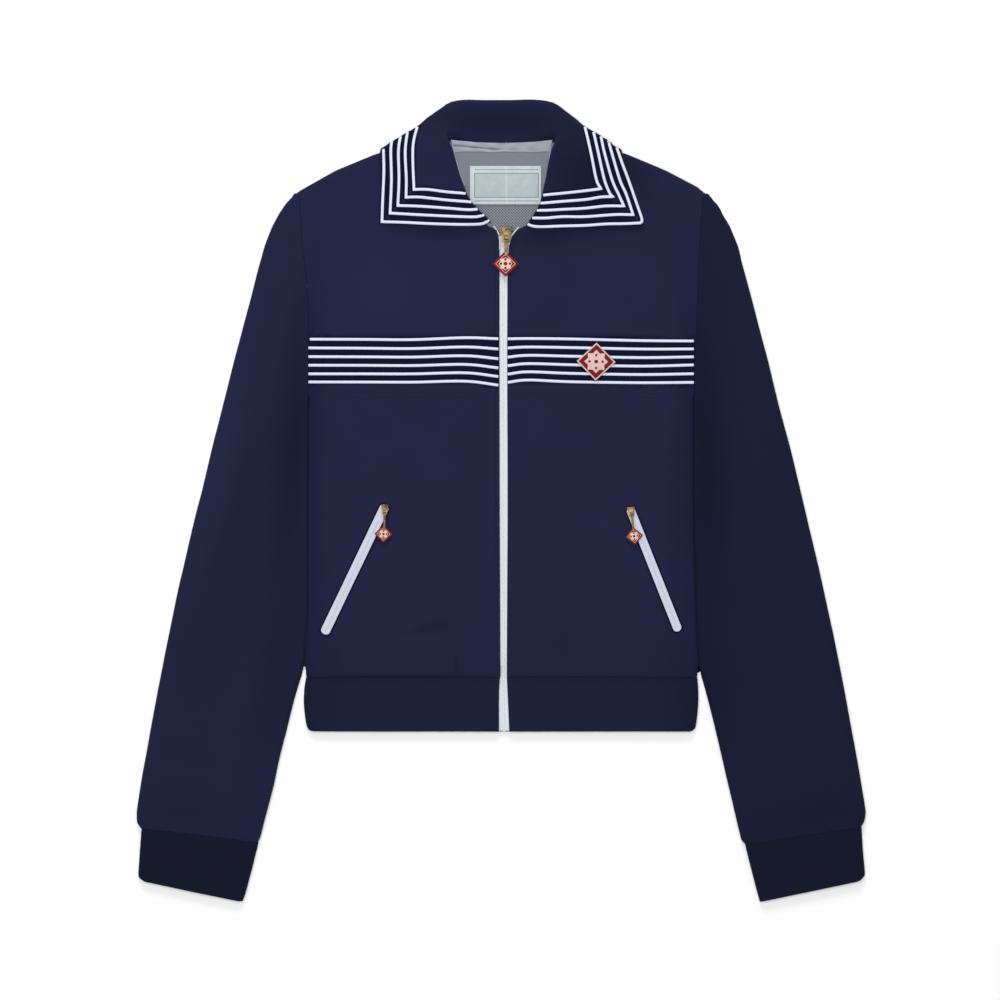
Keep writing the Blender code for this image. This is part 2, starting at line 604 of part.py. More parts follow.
def waistband(side):
    """A front length of the folded waistband."""
    name = side_name(side)

    def face(inset):
        rows = []
        for y in (BODY_HEM - SEAM, -178.0, -190.0, -206.0, BAND_HEM):
            outer, inner = read(BAND_SIDE, "y", y, name), read(ZIP, "y", y, name)
            width = abs(outer - inner)
            row = []
            for share in (0.0, 0.13 * TURN / width, 0.5 * TURN / width, TURN / width, 0.35, 0.7, 1.0):
                x = mix(outer, inner, share) - side * fold_shift(share * width, inset)
                row.append((x, y, mix(BODY_FOLD, BAND_TOP - inset, rounding(share * width))))
            rows.append(row)
        return rows

    return lofted("hem_front_" + name, face(0.0), face(BAND), KNIT_BAND, flip=side < 0)


def waistband_back():
    """The back length of the waistband."""
    def face(inset):
        rows = []
        for y in (BODY_HEM - SEAM, -178.0, -190.0, -206.0, BAND_HEM):
            right, left = read(BAND_SIDE, "y", y, "right"), read(BAND_SIDE, "y", y, "left")
            width = left - right
            half, rest = [], []
            for distance in (0.0, 0.2 * TURN, TURN, 0.35 * width):
                inner = distance + fold_shift(distance, inset)
                height = mix(BODY_FOLD - SEAM, inset, rounding(distance))
                half.append((right + inner, y, height))
                rest.append((left - inner, y, height))
            rows.append(half + rest[::-1])
        return rows

    return lofted("hem_back", face(0.0), face(BAND), KNIT_BAND)


# ---------------------------------------------------------------- sleeves and cuffs

def ring_plan(ring, side, share, curve):
    """Where a share of the way from a section's outer fold to its inner fold lies."""
    inner_x = ring.in_x
    if inner_x is None:
        inner_x = read(SIDE, "y", ring.in_y, side_name(side)) + side * SEAM
    x, y = mix(ring.out_x, inner_x, share), mix(ring.out_y, ring.in_y, share)
    edge = read(SIDE, "y", y, side_name(side)) + side * SEAM
    start = mix(read(SIDE, "y", ring.out_y, side_name(side)) + side * SEAM, inner_x, share)
    return (x + curve * (edge - start), y)


def section(ring, side, curve=0.0, folds=1.0, inset=0.0):
    """Points round one laid section: over the top from the outer fold to the inner, then back below."""
    inner_x = ring.in_x if ring.in_x is not None else side * 181.0
    width = math.hypot(ring.out_x - inner_x, ring.out_y - ring.in_y)
    outer_turn = min(TURN, (0.5 * ring.out_top) ** 2 / FOLD_BEND)
    inner_turn = min(TURN, (0.5 * ring.in_top) ** 2 / FOLD_BEND)
    a, b = outer_turn / width, inner_turn / width
    top = [0.0, 0.13 * a, 0.5 * a, a, *ARM_SHARES, 1.0 - b, 1.0 - 0.5 * b, 1.0 - 0.13 * b, 1.0]
    below = [1.0 - 0.3 * b, 1.0 - b, 0.75, 0.42, 0.25, a, 0.3 * a]
    points = []
    for n, share in enumerate(top + below):
        outward = inset / width * (clamp(1.0 - share / a) - clamp(1.0 - (1.0 - share) / b))
        x, y = ring_plan(ring, side, share + outward, curve)
        half = 0.5 * mix(ring.out_top, ring.in_top, share)
        over = min(rounding(share * width, outer_turn), rounding((1.0 - share) * width, inner_turn))
        if n < len(top):
            points.append((x, y, half + (half - inset + soft_folds(x, y) * folds * over) * over))
        else:
            points.append((x, y, half - (half - inset) * over))
    return points


def laid_tube(name, rings, side, wall, dress, folds, curves):
    """A tube of cloth laid flat."""
    outer = [section(ring, side, curve, folds) for ring, curve in zip(rings, curves)]
    inner = [section(ring, side, curve, folds, wall) for ring, curve in zip(rings, curves)]
    return lofted(name, outer, inner, dress, closed=True, flip=side < 0)


def sleeve(side):
    """A sleeve, a closed tube from the armhole to the cuff."""
    rings = RIGHT_SLEEVE if side < 0 else LEFT_SLEEVE
    curves = [max(0.0, 1.0 - i / 6.0) for i in range(len(rings))]
    return laid_tube("sleeve_" + side_name(side), rings, side, CLOTH, KNIT, 1.0, curves)


def cuff(side):
    """A folded cuff, a closed tube."""
    rings = RIGHT_CUFF if side < 0 else LEFT_CUFF
    return laid_tube("cuff_" + side_name(side), rings, side, BAND, KNIT_BAND, 0.0, [0.0] * len(rings))


# ---------------------------------------------------------------- collar

def key_at(table, s):
    """The collar's sizes a distance s along its edge."""
    for low, high in zip(table, table[1:]):
        if s <= high.s:
            t = (s - low.s) / (high.s - low.s)
            values = []
            for a, b in zip(low, high):
                values.append(None if a is None or b is None else mix(a, b, t))
            return Key(*values) if t < 1.0 else high
    return table[-1]


def leaf_height(x, y):
    """Height of the leaf's upper face where it lies on the body."""
    around = ((0.0, 0.0), (5.0, 0.0), (-5.0, 0.0), (0.0, 5.0), (0.0, -5.0))
    return max(on_front(x + dx, y + dy, CLOTH + 0.5).z for dx, dy in around)


def neck_room(key, roll, ahead):
    """How far the neck seam lies from the roll, less the seam's gap."""
    side = -1 if key.roll_x < 2.0 else 1
    for n in range(120):
        spot = roll + ahead * (0.25 * n)
        if spot.y < top_edge(side, abs(spot.x)):
            return 0.25 * (n - 1) - 2.0 * SEAM
    return 30.0


def collar_path(key):
    """The collar's outer face across one station, neck seam to leaf edge, as closely spaced points, with the
    indices where the stand, the roll, the leaf and the turn under it begin."""
    roll, edge = Vector((key.roll_x, key.roll_y)), Vector((key.edge_x, key.edge_y))
    run = (edge - roll).length
    ahead = (edge - roll) / run
    start = math.radians(90.0 - key.turn)
    half = (key.roll_z - key.seam_z) / (1.0 - math.sin(start)) if key.turn > 5.0 else 0.0
    foot = key.reach * (1.0 - math.cos(start))
    shift = foot if key.turn < 90.0 else 0.0
    flat = []
    if key.stand > 0.0:
        stand = max(0.4, min(key.stand, neck_room(key, roll, ahead) - foot))
        flat += [(foot + stand * t, key.seam_z) for t in (1.0, 0.75, 0.5, 0.25)]
    marks = [0, len(flat)]
    for i in range(17):
        angle = mix(start, math.radians(90.0), i / 16.0)
        height = key.roll_z - half * (1.0 - math.sin(angle))
        flat.append((key.reach * (1.0 - math.cos(angle)) - shift, height))
    first = flat[-1][0]
    turned = key.edge_z is not None
    droop = math.radians(90.0 * max(0.0, -key.wrap)) if turned else 0.0
    last = run - UNDER_TURN * math.cos(droop) if turned else run
    points = [(roll + ahead * r, z) for r, z in flat]
    marks.append(len(points) - 1)
    for i in range(1, 33):
        r = mix(first, last, i / 32.0)
        spot = roll + ahead * r
        spot.y -= key.bow * 0.9 * (1.0 - r / run) * (1.0 - math.exp(-r / run / 0.085))
        rest = leaf_height(spot.x, spot.y) if not turned or key.edge_z > 11.0 else key.edge_z
        points.append((spot, rest + (key.roll_z - rest) * (1.0 - i / 32.0) ** 1.7))
    marks.append(len(points) - 1)
    if turned:
        level = points[-1][1]
        hem = Vector((key.hem_x, key.hem_y))
        under = (hem - edge).length
        back = (hem - edge) / under
        for i in range(1, 25):
            angle = math.radians(90.0 - (90.0 + 90.0 * key.wrap) * i / 24.0)
            if angle >= 0.0:
                spot = roll + ahead * (last + UNDER_TURN * math.cos(angle))
            else:
                spot = edge + back * UNDER_TURN * (1.0 - math.cos(angle))
            points.append((spot, 0.5 * level * (1.0 + math.sin(angle))))
        marks.append(len(points) - 1)
        for i in range(1, 9):
            if under > UNDER_TURN:
                points.append((edge + back * mix(UNDER_TURN, under, i / 8.0), 0.0))
    else:
        marks.append(len(points) - 1)
    return [Vector((spot.x, spot.y, z)) for spot, z in points], marks


def lengths_from_end(points):
    """Distance of each point of a path from the path's end."""
    lengths = [0.0]
    for near, far in zip(points[:0:-1], points[-2::-1]):
        lengths.append(lengths[-1] + (far - near).length)
    return lengths[::-1]


def along_path(points, lengths, target):
    """The point a distance back along a path from its end."""
    for index in range(len(points) - 1, 0, -1):
        if target <= lengths[index - 1]:
            step = lengths[index - 1] - lengths[index]
            share = (target - lengths[index]) / step if step > 0.0 else 0.0
            return points[index].lerp(points[index - 1], share)
    return points[0].copy()


def even_columns(points, lengths):
    """Distances of a flat station's columns: the braid's edges, then closer where the cloth bends."""
    walk = spread(BRAID_EDGES[-1], lengths[0], WALK_STEPS + 1)
    weights = [0.0]
    last = None
    here = along_path(points, lengths, walk[0])
    for place in walk[1:]:
        heading = along_path(points, lengths, place) - here
        here = here + heading
        bend = heading.angle(last) if last is not None and heading.length > 1e-6 else 0.0
        weights.append(weights[-1] + heading.length + BEND_WEIGHT * bend)
        last = heading
    targets = list(BRAID_EDGES)
    for n in range(1, COLLAR_INNER + 1):
        goal = weights[-1] * n / COLLAR_INNER - 1e-9
        targets.append(walk[next(i for i, weight in enumerate(weights) if weight >= goal)])
    return targets


def turned_columns(lengths, marks):
    """Distances of a turned-under station's columns, each keeping its place on the folds."""
    stand, roll, leaf, turn, under = (lengths[mark] for mark in marks)
    leaf = min(leaf, stand - NECK_ROUND)
    targets = [0.0, 0.5 * under]
    targets += [mix(under, turn, share) for share in (0.0, 0.2, 0.4, 0.6, 0.8, 1.0)]
    targets += [mix(turn, leaf, share) for share in spread(0.0, 1.0, 8)[1:-1]]
    if stand - roll > 0.1:
        targets += [mix(leaf, roll, share) for share in spread(0.0, 1.0, 7)] + [stand]
    else:
        targets += [mix(leaf, stand, share) for share in spread(0.0, 1.0, 8)]
    return targets


def collar_station(key):
    """The grid's columns along one station, from the leaf edge in to the neck seam."""
    points, marks = collar_path(key)
    lengths = lengths_from_end(points)
    turned = clamp((key.s - COLLAR_BACK_ROWS[0]) / UNDER_RUN)
    targets = turned_columns(lengths, marks) if turned >= 1.0 else even_columns(points, lengths)
    if 0.0 < turned < 1.0:
        targets = [mix(a, b, turned) for a, b in zip(targets, turned_columns(lengths, marks))]
    return [along_path(points, lengths, target) for target in targets]


def collar_stations(side):
    """Stations of one half, front end first, without the middle of the back."""
    table = RIGHT_COLLAR if side < 0 else LEFT_COLLAR
    stations = [collar_station(key_at(table, s)) for s in BRAID_STEPS + COLLAR_FRONT_ROWS]
    for s in COLLAR_BACK_ROWS:
        longer = LEFT_FIRST if s < LEFT_AHEAD.x else LEFT_AHEAD.y
        stations.append(collar_station(key_at(table, s + (longer if side > 0 else 0.0))))
    return stations


def collar():
    """The collar and, on each side, its five rows of braid."""
    right, left = collar_stations(-1), collar_stations(1)
    rows = [*right, collar_station(RIGHT_COLLAR[-1]), *left[::-1]]
    made = sheet("collar", rows, CLOTH, KNIT)
    normals = [vertex.normal.copy() for vertex in made.data.vertices]
    columns = len(rows[0])
    face = face_tree(rows)
    for side, first, step in ((-1, 0, 1), (1, len(rows) - 1, -1)):
        def on_grid(i, j):
            """A point a little above the collar's grid."""
            index = first + step * i
            return rows[index][j] + normals[index * columns + j] * (SEAM + 0.1), normals[index * columns + j]

        def on_leaf(spot):
            """A point above the leaf where it bends down to the shoulder, or None off its upper face."""
            hit, normal = face.ray_cast(Vector((spot.x, spot.y, 90.0)), Vector((0.0, 0.0, -1.0)))[:2]
            return hit + normal * BRAID_LIFT if hit and normal.z > BRAID_SLOPE else None

        for n in range(5):
            collar_braid(side, n, on_grid, on_leaf)
    return made


def collar_braid(side, n, on_grid, on_leaf):
    """One row of braid: down the leaf's long edge, round the mitred corner and along its front edge."""
    a, b = 2 * n, 2 * n + 1
    last_flat = len(BRAID_STEPS) + len(COLLAR_FRONT_ROWS) - 2
    middle = 0.5 * (on_grid(last_flat, a)[0] + on_grid(last_flat, b)[0])
    end = Vector((BRAID_ENDS[side][n].x, BRAID_ENDS[side][n].y, middle.z))
    run = (end - middle).normalized()
    across = Vector((-run.y, run.x, 0.0)) * (-side * BRAID_WIDE / 2.0)
    pairs = []
    for share in spread(1.0, 0.0, 7)[:-1]:
        spot = middle.lerp(end, share)
        pair = (on_leaf(spot + across), on_leaf(spot - across))
        if None not in pair:
            pairs.append(pair)
    for i in range(last_flat, b, -1):
        pairs.append((on_grid(i, a)[0], on_grid(i, b)[0]))
    pairs.append((on_grid(a, a)[0], on_grid(b, b)[0]))
    for j in range(b + 1, len(BRAID_EDGES) + COLLAR_INNER):
        outer, normal = on_grid(a, j)
        inner, other = on_grid(b, j)
        if min(normal.z, other.z) < BRAID_STOP:
            break
        pairs.append((outer, inner))
    name = "collar_braid_%s_%d" % (side_name(side), n + 1)
    return sheet(name, pairs, BRAID, WHITE, inward=False, flip=side < 0)


# ---------------------------------------------------------------- what is sewn on

def chest_braids(side):
    """Six rows of braid over one front."""
    name = side_name(side)
    for n, row in enumerate(CHEST_BRAIDS):
        rows = []
        outer, inner = read(SIDE, "y", 130.0, name) - side * 0.6, read(ZIP, "y", 130.0, name) + side * 0.4
        stops = (Across(0.0, row.left_side), Across(0.28, row.left_side - 0.2), Across(0.86, row.left_near),
                 Across(1.0, row.left_zip))
        if side < 0:
            stops = (Across(0.0, row.right_side), Across(0.32, row.right_mid),
                     Across(0.85, row.right_zip + 0.9), Across(1.0, row.right_zip))
        for share in [0.0, 0.013, 0.028, 0.05] + spread(0.05, 1.0, 12)[1:]:
            x, y = mix(outer, inner, share), read(stops, "x", share, "y")
            rows.append([on_front(x, y + up, SEAM + 0.1) for up in (-BRAID_WIDE / 2, BRAID_WIDE / 2)])
        sheet("chest_braid_%s_%d" % (name, n + 1), rows, BRAID, WHITE, inward=False, flip=side < 0)


def chest_patch():
    """The diamond patch that lies over the braid."""
    x, y = PATCH
    around = (-PATCH_WIDE / 3, 0.0, PATCH_WIDE / 3)
    base = max(on_front(x + dx, y + dy).z for dx in around for dy in around)
    bottom = base + 2 * SEAM + BRAID + 0.25
    bpy.ops.mesh.primitive_cylinder_add(vertices=4, radius=0.5 * PATCH_WIDE * MM, depth=PATCH_THICK * MM)
    made = adopt("chest_patch", ENAMEL_RED)
    made.data.transform(Matrix.Diagonal((1.0, PATCH_TALL / PATCH_WIDE, 1.0, 1.0)))
    made.location = Vector((x, y, bottom + PATCH_THICK / 2)) * MM
    soften(made, 0.4)
    return made


def adopt(name, dress):
    """Name the object just added, dress it and put it with the jacket."""
    made = bpy.context.object
    made.name = name
    made.data.name = name
    made.data.materials.append(dress)
    for held in list(made.users_collection):
        held.objects.unlink(made)
    JACKET.objects.link(made)
    return made


def soften(made, width, segments=1):
    """A small bevel on the sharp edges."""
    bevel = made.modifiers.new("Edge", "BEVEL")
    bevel.width = width * MM
    bevel.segments = segments
    bevel.limit_method = "ANGLE"
    return bevel


def neck_pieces():
    """The lining where it shows inside the neck, the tape over the neck seam and the blank label."""
    def lining_height(x, y):
        return LEAF_RAISE * raised(x, y) + CLOTH + 0.45

    levels = [249.0, 262.0, 273.0, 279.0, 285.0, 291.0, 297.0, 303.0, 314.7, 327.0, 335.4]
    reach = (Level(249.0, -8.0, 12.0), Level(262.0, -15.0, 29.0), Level(279.0, -31.0, 42.0),
             Level(303.0, -44.0, 48.0), Level(335.4, -47.0, 48.5))
    rows = []
    for y in levels:
        right, left = read(reach, "y", y, "right"), read(reach, "y", y, "left")
        rows.append([(mix(right, left, share), y, lining_height(0.0, y)) for share in (0.0, 0.33, 0.67, 1.0)])
    sheet("neck_lining", rows, LIGHT, MESH_GREY, inward=False)
    upper = LIGHT + SEAM + 0.05
    rows = [[(x, y, lining_height(0.0, y) + upper) for x in (LABEL_LOW[0], 4.0, LABEL_HIGH[0])]
            for y in (LABEL_LOW[1], 285.0, 291.0, 297.0, 303.0, LABEL_HIGH[1])]
    sheet("neck_label", rows, LIGHT, LABEL_WHITE, inward=False)
    rows = [[(x, y, lining_height(0.0, y) + upper) for x in (-45.5, 0.0, 46.8)]
            for y in (TAPE_LOW, TAPE_HIGH)]
    sheet("neck_tape", rows, LIGHT, LABEL_WHITE, inward=False)


# ---------------------------------------------------------------- zips

FLARE_Z = 5.2          # height of the tapes where they part at the neck
COIL = (Across(-0.95, 0.0), Across(-0.95, 1.2), Across(-0.4, 1.7), Across(0.4, 1.7), Across(0.95, 1.2),
        Across(0.95, 0.0))     # the closed coil's section: across, up
ZIP_LEVELS = (BAND_HEM, -190.0, -169.0, -164.0, -150.0, -60.0, 0.0, 65.0, 130.0, 180.0, 222.0, 240.0)


def tape_top(y):
    """Height of the zip tapes, under the front edges."""
    return mix(BAND_TOP - BAND - SEAM, BODY_TOP - CLOTH, ease((y + 164.0) / 14.0))


def zip_middle(y):
    """x of the zip's middle."""
    return 0.5 * (read(ZIP, "y", y, "right") + read(ZIP, "y", y, "left"))


def front_zip():
    """Two tapes that part at the neck, and the coil between them."""
    for side in (-1, 1):
        name = side_name(side)
        rows = []
        for y in ZIP_LEVELS:
            outer = read(ZIP, "y", y, name) + side * 3.0
            inner = zip_middle(y) + side * 1.25
            rows.append([(outer, y, tape_top(y)), (inner, y, tape_top(y))])
        middle, flare = zip_middle(256.0), -9.0 if side < 0 else 21.0
        rows.append([(mix(middle, flare, 0.75), 254.0, FLARE_Z), (mix(middle, flare, 0.45), 257.0, FLARE_Z)])
        rows.append([(flare - 1.0 * side, 258.0, FLARE_Z), (mix(middle, flare, 0.85), 261.6, FLARE_Z)])
        sheet("zip_tape_" + name, rows, LIGHT, WHITE, inward=True, flip=side > 0)
    rows = []
    for y in ZIP_LEVELS:
        rows.append([(zip_middle(y) + spot.x, y, tape_top(y) - LIGHT + spot.y) for spot in COIL])
    points = [point for row in rows for point in row]
    faces = grid_faces(len(rows), len(COIL), closed=True)
    faces.append(tuple(range(len(COIL) - 1, -1, -1)))
    faces.append(tuple(range(len(points) - len(COIL), len(points))))
    mesh_object("zip_coil", points, faces, WHITE)


def pocket_tapes():
    """The white tape of each slanting pocket zip, on the front's own heights."""
    for name, head, foot, wide in POCKET_TAPES:
        top, low = Vector(head), Vector(foot)
        along = (low - top).normalized()
        across = Vector((-along.y, along.x)) * wide / 2.0
        rows = []
        for t in spread(0.0, 1.0, 9):
            spot = top.lerp(low, t)
            narrow = 0.72 if t in (0.0, 1.0) else 1.0
            left, right = spot - across * narrow, spot + across * narrow
            rows.append([on_front(place.x, place.y, SEAM + 0.1) for place in (left, spot, right)])
        sheet("pocket_tape_" + name, rows, LIGHT, WHITE, inward=False, flip=True)


def block(size, middle, taper=1.0):
    """A box mesh as a bmesh, its lower (-Y) end narrowed by taper."""
    shape = bmesh.new()
    bmesh.ops.create_cube(shape, size=1.0)
    for vertex in shape.verts:
        if vertex.co.y < 0.0:
            vertex.co.x *= taper
        vertex.co = (vertex.co * Vector(size) + Vector(middle)) * MM
    return shape


def solid(name, shape, dress, holder):
    """An object from a bmesh, in a given collection."""
    mesh = bpy.data.meshes.new(name)
    shape.to_mesh(mesh)
    shape.free()
    mesh.materials.append(dress)
    made = bpy.data.objects.new(name, mesh)
    holder.objects.link(made)
    return made


def join(made, other, operation="UNION"):
    """A Boolean with a helper shape, which moves with the piece."""
    other.parent = made
    other.hide_render = True
    other.display_type = "WIRE"
    boolean = made.modifiers.new(operation.title(), "BOOLEAN")
    boolean.operation = operation
    boolean.object = other


def bar(radius, length, middle, sides=12):
    """A round bar along X as a bmesh."""
    shape = bmesh.new()
    turn = Matrix.Translation(Vector(middle) * MM) @ Matrix.Rotation(math.radians(90.0), 4, "Y")
    bmesh.ops.create_cone(shape, cap_ends=True, segments=sides, radius1=radius * MM, radius2=radius * MM,
                          depth=length * MM, matrix=turn)
    return shape


def slider_set(item):
    """A slider, and its pull and diamond charm, which swing on the slider's cross bar."""
    k, front = item.scale, item.scale == 1.0
    base = front_height(item.x, item.y - 7.0 * k) + (0.5 if front else SEAM + LIGHT + 0.35)
    shell = block((SLIDER_WIDE * k, SLIDER_LONG * k, SLIDER_HIGH),
                  (0.0, -0.5 * SLIDER_LONG * k, 0.5 * SLIDER_HIGH), SLIDER_TAPER)
    body = solid(item.name + "_slider", shell, BRASS, JACKET)
    body.location = Vector((item.x, item.y, base)) * MM
    body.rotation_euler.z = math.radians(item.angle)
    pin_y, pin_z = -PIN_BACK * k, SLIDER_HIGH + PIN_UP * k
    if front:
        join(body, solid("zip_slider_neck", block(SLIDER_NECK, (-1.0, -7.0, -0.6)), BRASS, HELPERS))
    for end in (-1, 1):
        ear = block((EAR_WIDE * k, EAR_LONG * k, EAR_LONG * k + 0.4),
                    (end * EAR_APART * k, pin_y, 2.0 + 1.55 * k))
        join(body, solid("%s_ear_%d" % (item.name, end + 2), ear, BRASS, HELPERS))
    pin = bar(PIN_RADIUS * k, PIN_LONG * k, (0.0, pin_y, pin_z))
    join(body, solid(item.name + "_bar", pin, BRASS, HELPERS))

    pivot = bpy.data.objects.new(item.name + "_pivot", None)
    JACKET.objects.link(pivot)
    spin = Matrix.Rotation(math.radians(item.angle), 3, "Z")
    pivot.location = (Vector((item.x, item.y, base)) + spin @ Vector((0.0, pin_y, pin_z))) * MM
    pivot.rotation_euler.z = body.rotation_euler.z
    half = CHARM_SPAN * 0.5 * (1.0 if front else SMALL_CHARM)
    thick = CHARM_THICK * (1.0 if front else SMALL_THICK)
    charm_y = item.charm_y - pivot.location.y / MM
    rest = front_height(item.x, item.charm_y) + SEAM + 0.35 - pivot.location.z / MM
    if not front:
        rest += LIGHT + 0.1
    pull = solid(item.name + "_pull", bar(EYE_RADIUS * k, EYE_WIDE * k, (0.0, 0.0, 0.0), 16), BRASS, JACKET)
    pull.parent = pivot
    hole = solid(item.name + "_eye", bar(PIN_RADIUS * k + SEAM, 8.0 * k, (0.0, 0.0, 0.0)), BRASS, HELPERS)
    reach = -charm_y - half + 3.0 * k
    from_eye = ARM_HIGH * k
    arm_long = reach + 1.0 * k
    arm = block((ARM_WIDE * k, arm_long, ARM_HIGH * k), (0.0, -arm_long / 2 - from_eye, 0.0), 0.8)
    slope = (rest + thick + SEAM + 0.7 * k - 0.1) / reach
    for vertex in arm.verts:
        vertex.co.z += slope * max(0.0, -vertex.co.y - from_eye * MM)
    join(pull, solid(item.name + "_arm", arm, BRASS, HELPERS))
    join(pull, hole, "DIFFERENCE")
    bpy.ops.mesh.primitive_cylinder_add(vertices=4, radius=half * MM, depth=thick * MM)
    charm = adopt(item.name + "_charm", ENAMEL_RED)
    charm.data.transform(Matrix.Diagonal((1.0, 0.96, 1.0, 1.0)))
    charm.parent = pivot
    charm.location = Vector((0.0, charm_y, rest + thick / 2)) * MM
    soften(charm, 0.35)


# ---------------------------------------------------------------- the jacket

for stale in list(bpy.data.objects):
    bpy.data.objects.remove(stale, do_unlink=True)

JACKET = collection("track_jacket")
HELPERS = collection("helpers")

FRONT_FACES = {}

KNIT = finish("navy_knit", (0.0176, 0.0185, 0.0545), 0.85)
KNIT_BAND = finish("navy_band", (0.0135, 0.0145, 0.0440), 0.85)
WHITE = finish("white_braid", (0.78, 0.79, 0.86), 0.75)
MESH_GREY = finish("lining_mesh", (0.25, 0.27, 0.31), 0.80)
LABEL_WHITE = finish("label_white", (0.60, 0.64, 0.66), 0.70)
BRASS = finish("brass", (0.62, 0.40, 0.13), 0.30, 1.0)
ENAMEL_RED = finish("enamel_red", (0.36, 0.02, 0.02), 0.30)

back_panel()
for wearer_side in (-1, 1):
    front_panel(wearer_side)
    waistband(wearer_side)
    sleeve(wearer_side)
    cuff(wearer_side)
    chest_braids(wearer_side)
waistband_back()
collar()
neck_pieces()
front_zip()
pocket_tapes()
chest_patch()
for slider in SLIDERS:
    slider_set(slider)
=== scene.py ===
"""A navy zip-up track jacket laid flat: finer cloth, braid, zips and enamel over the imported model."""

import logging
import math
from dataclasses import dataclass
from enum import Enum
from typing import Callable, Sequence

import bmesh
import bpy
import numpy as np
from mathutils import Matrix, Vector
from mathutils.bvhtree import BVHTree
from mathutils.kdtree import KDTree

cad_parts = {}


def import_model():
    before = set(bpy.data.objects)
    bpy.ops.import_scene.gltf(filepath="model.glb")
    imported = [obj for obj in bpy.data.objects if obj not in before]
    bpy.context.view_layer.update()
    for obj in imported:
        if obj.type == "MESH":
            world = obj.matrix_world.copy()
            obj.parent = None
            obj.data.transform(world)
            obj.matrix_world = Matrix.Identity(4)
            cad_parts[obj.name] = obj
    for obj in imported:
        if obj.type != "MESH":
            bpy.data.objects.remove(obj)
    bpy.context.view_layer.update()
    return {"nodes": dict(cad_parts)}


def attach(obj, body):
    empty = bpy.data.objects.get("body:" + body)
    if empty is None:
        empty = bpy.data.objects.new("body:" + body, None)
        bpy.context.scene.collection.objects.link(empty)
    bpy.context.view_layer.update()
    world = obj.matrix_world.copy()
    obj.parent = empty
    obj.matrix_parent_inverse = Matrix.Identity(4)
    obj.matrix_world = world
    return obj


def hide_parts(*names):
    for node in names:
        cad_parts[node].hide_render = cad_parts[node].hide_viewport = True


LOG = logging.getLogger("track_jacket")

MM = 0.001
VIEW_SPAN = 940.0            # millimetres that the camera's square view takes in at the jacket's height
JACKET_BODY = "jacket"

Point = tuple[float, float]
Spot = tuple[float, float, float]
Colour = tuple[float, float, float]
Path = Sequence[Point]


class Side(Enum):
    """The wearer's side: the sign of x, and the word in the node names."""

    RIGHT = -1
    LEFT = 1

    @property
    def word(self) -> str:
        """The side as it stands in a node's name."""
        return "right" if self is Side.RIGHT else "left"


class Crease(Enum):
    """How a fold departs from the lie of the cloth."""

    TROUGH = -1.0
    RIDGE = 1.0


# ---------------------------------------------------------------- folds of the cloth

@dataclass(frozen=True)
class Fold:
    """A soft crease from start to end, in millimetres. lee is the half width on its other side."""

    kind: Crease
    start: Point
    end: Point
    half: float
    depth: float
    lee: float
    bow: float

    def height(self, x: np.ndarray, y: np.ndarray) -> np.ndarray:
        """How far the fold moves the cloth up at places across and up the jacket."""
        start, end = np.array(self.start), np.array(self.end)
        run = end - start
        length = float(np.hypot(*run))
        along = ((x - start[0]) * run[0] + (y - start[1]) * run[1]) / length ** 2
        across = ((x - start[0]) * -run[1] + (y - start[1]) * run[0]) / length
        held = np.clip(along, 0.0, 1.0)
        across = across - self.bow * np.sin(math.pi * held)
        beyond = np.abs(along - held) * length
        half = np.where(across > 0.0, self.half, self.lee)
        taper = np.sqrt(np.sin(math.pi * np.clip(held * 0.9 + 0.05, 0.0, 1.0)))
        fade = np.exp(-(across / half) ** 2 - (beyond / (1.4 * half)) ** 2)
        return self.kind.value * self.depth * taper * fade


T, R = Crease.TROUGH, Crease.RIDGE

TOP_FOLDS: tuple[Fold, ...] = (
    # from the underarms over the chest sides
    Fold(T, (-176, 108), (-118, 62), 7, 0.55, 12, 4),
    Fold(T, (-172, 196), (-128, 232), 8, 0.45, 14, -5),
    Fold(T, (176, 104), (120, 66), 8, 0.50, 13, -4),
    Fold(T, (172, 200), (132, 246), 7, 0.55, 12, 5),
    # over the front, long and shallow
    Fold(R, (-96, 96), (-84, -70), 17, 0.50, 26, 6),
    Fold(T, (-52, 232), (-34, 168), 10, 0.40, 16, 2),
    Fold(T, (-92, -106), (-44, -128), 6, 0.45, 10, 3),
    Fold(T, (-172, -62), (-140, -132), 8, 0.60, 14, 4),
    Fold(R, (88, 96), (74, -40), 16, 0.45, 26, -6),
    Fold(T, (38, -58), (60, -132), 9, 0.40, 15, -3),
    Fold(T, (168, -70), (136, -138), 8, 0.50, 13, -4),
    Fold(T, (24, 236), (58, 214), 6, 0.50, 10, 3),
    # the right sleeve
    Fold(T, (-200, 206), (-214, 96), 9, 1.00, 15, -4),
    Fold(T, (-196, 66), (-228, -44), 10, 1.10, 17, -5),
    Fold(R, (-236, 128), (-272, -38), 16, 0.70, 24, 4),
    Fold(T, (-266, 62), (-242, 40), 6, 0.45, 9, 2),
    Fold(T, (-300, -158), (-238, -192), 8, 0.65, 12, 4),
    Fold(R, (-262, -112), (-300, -262), 15, 0.60, 20, 3),
    Fold(T, (-322, -236), (-252, -262), 6, 0.60, 9, 3),
    # the left sleeve
    Fold(T, (200, 206), (212, 90), 9, 1.05, 16, 4),
    Fold(T, (196, 58), (226, -54), 11, 1.15, 18, 5),
    Fold(R, (240, 120), (272, -30), 16, 0.70, 25, -4),
    Fold(T, (292, -132), (232, -166), 8, 0.70, 13, -4),
    Fold(R, (258, -112), (294, -258), 14, 0.55, 20, -3),
    Fold(T, (318, -228), (250, -258), 7, 0.55, 10, -3),
)
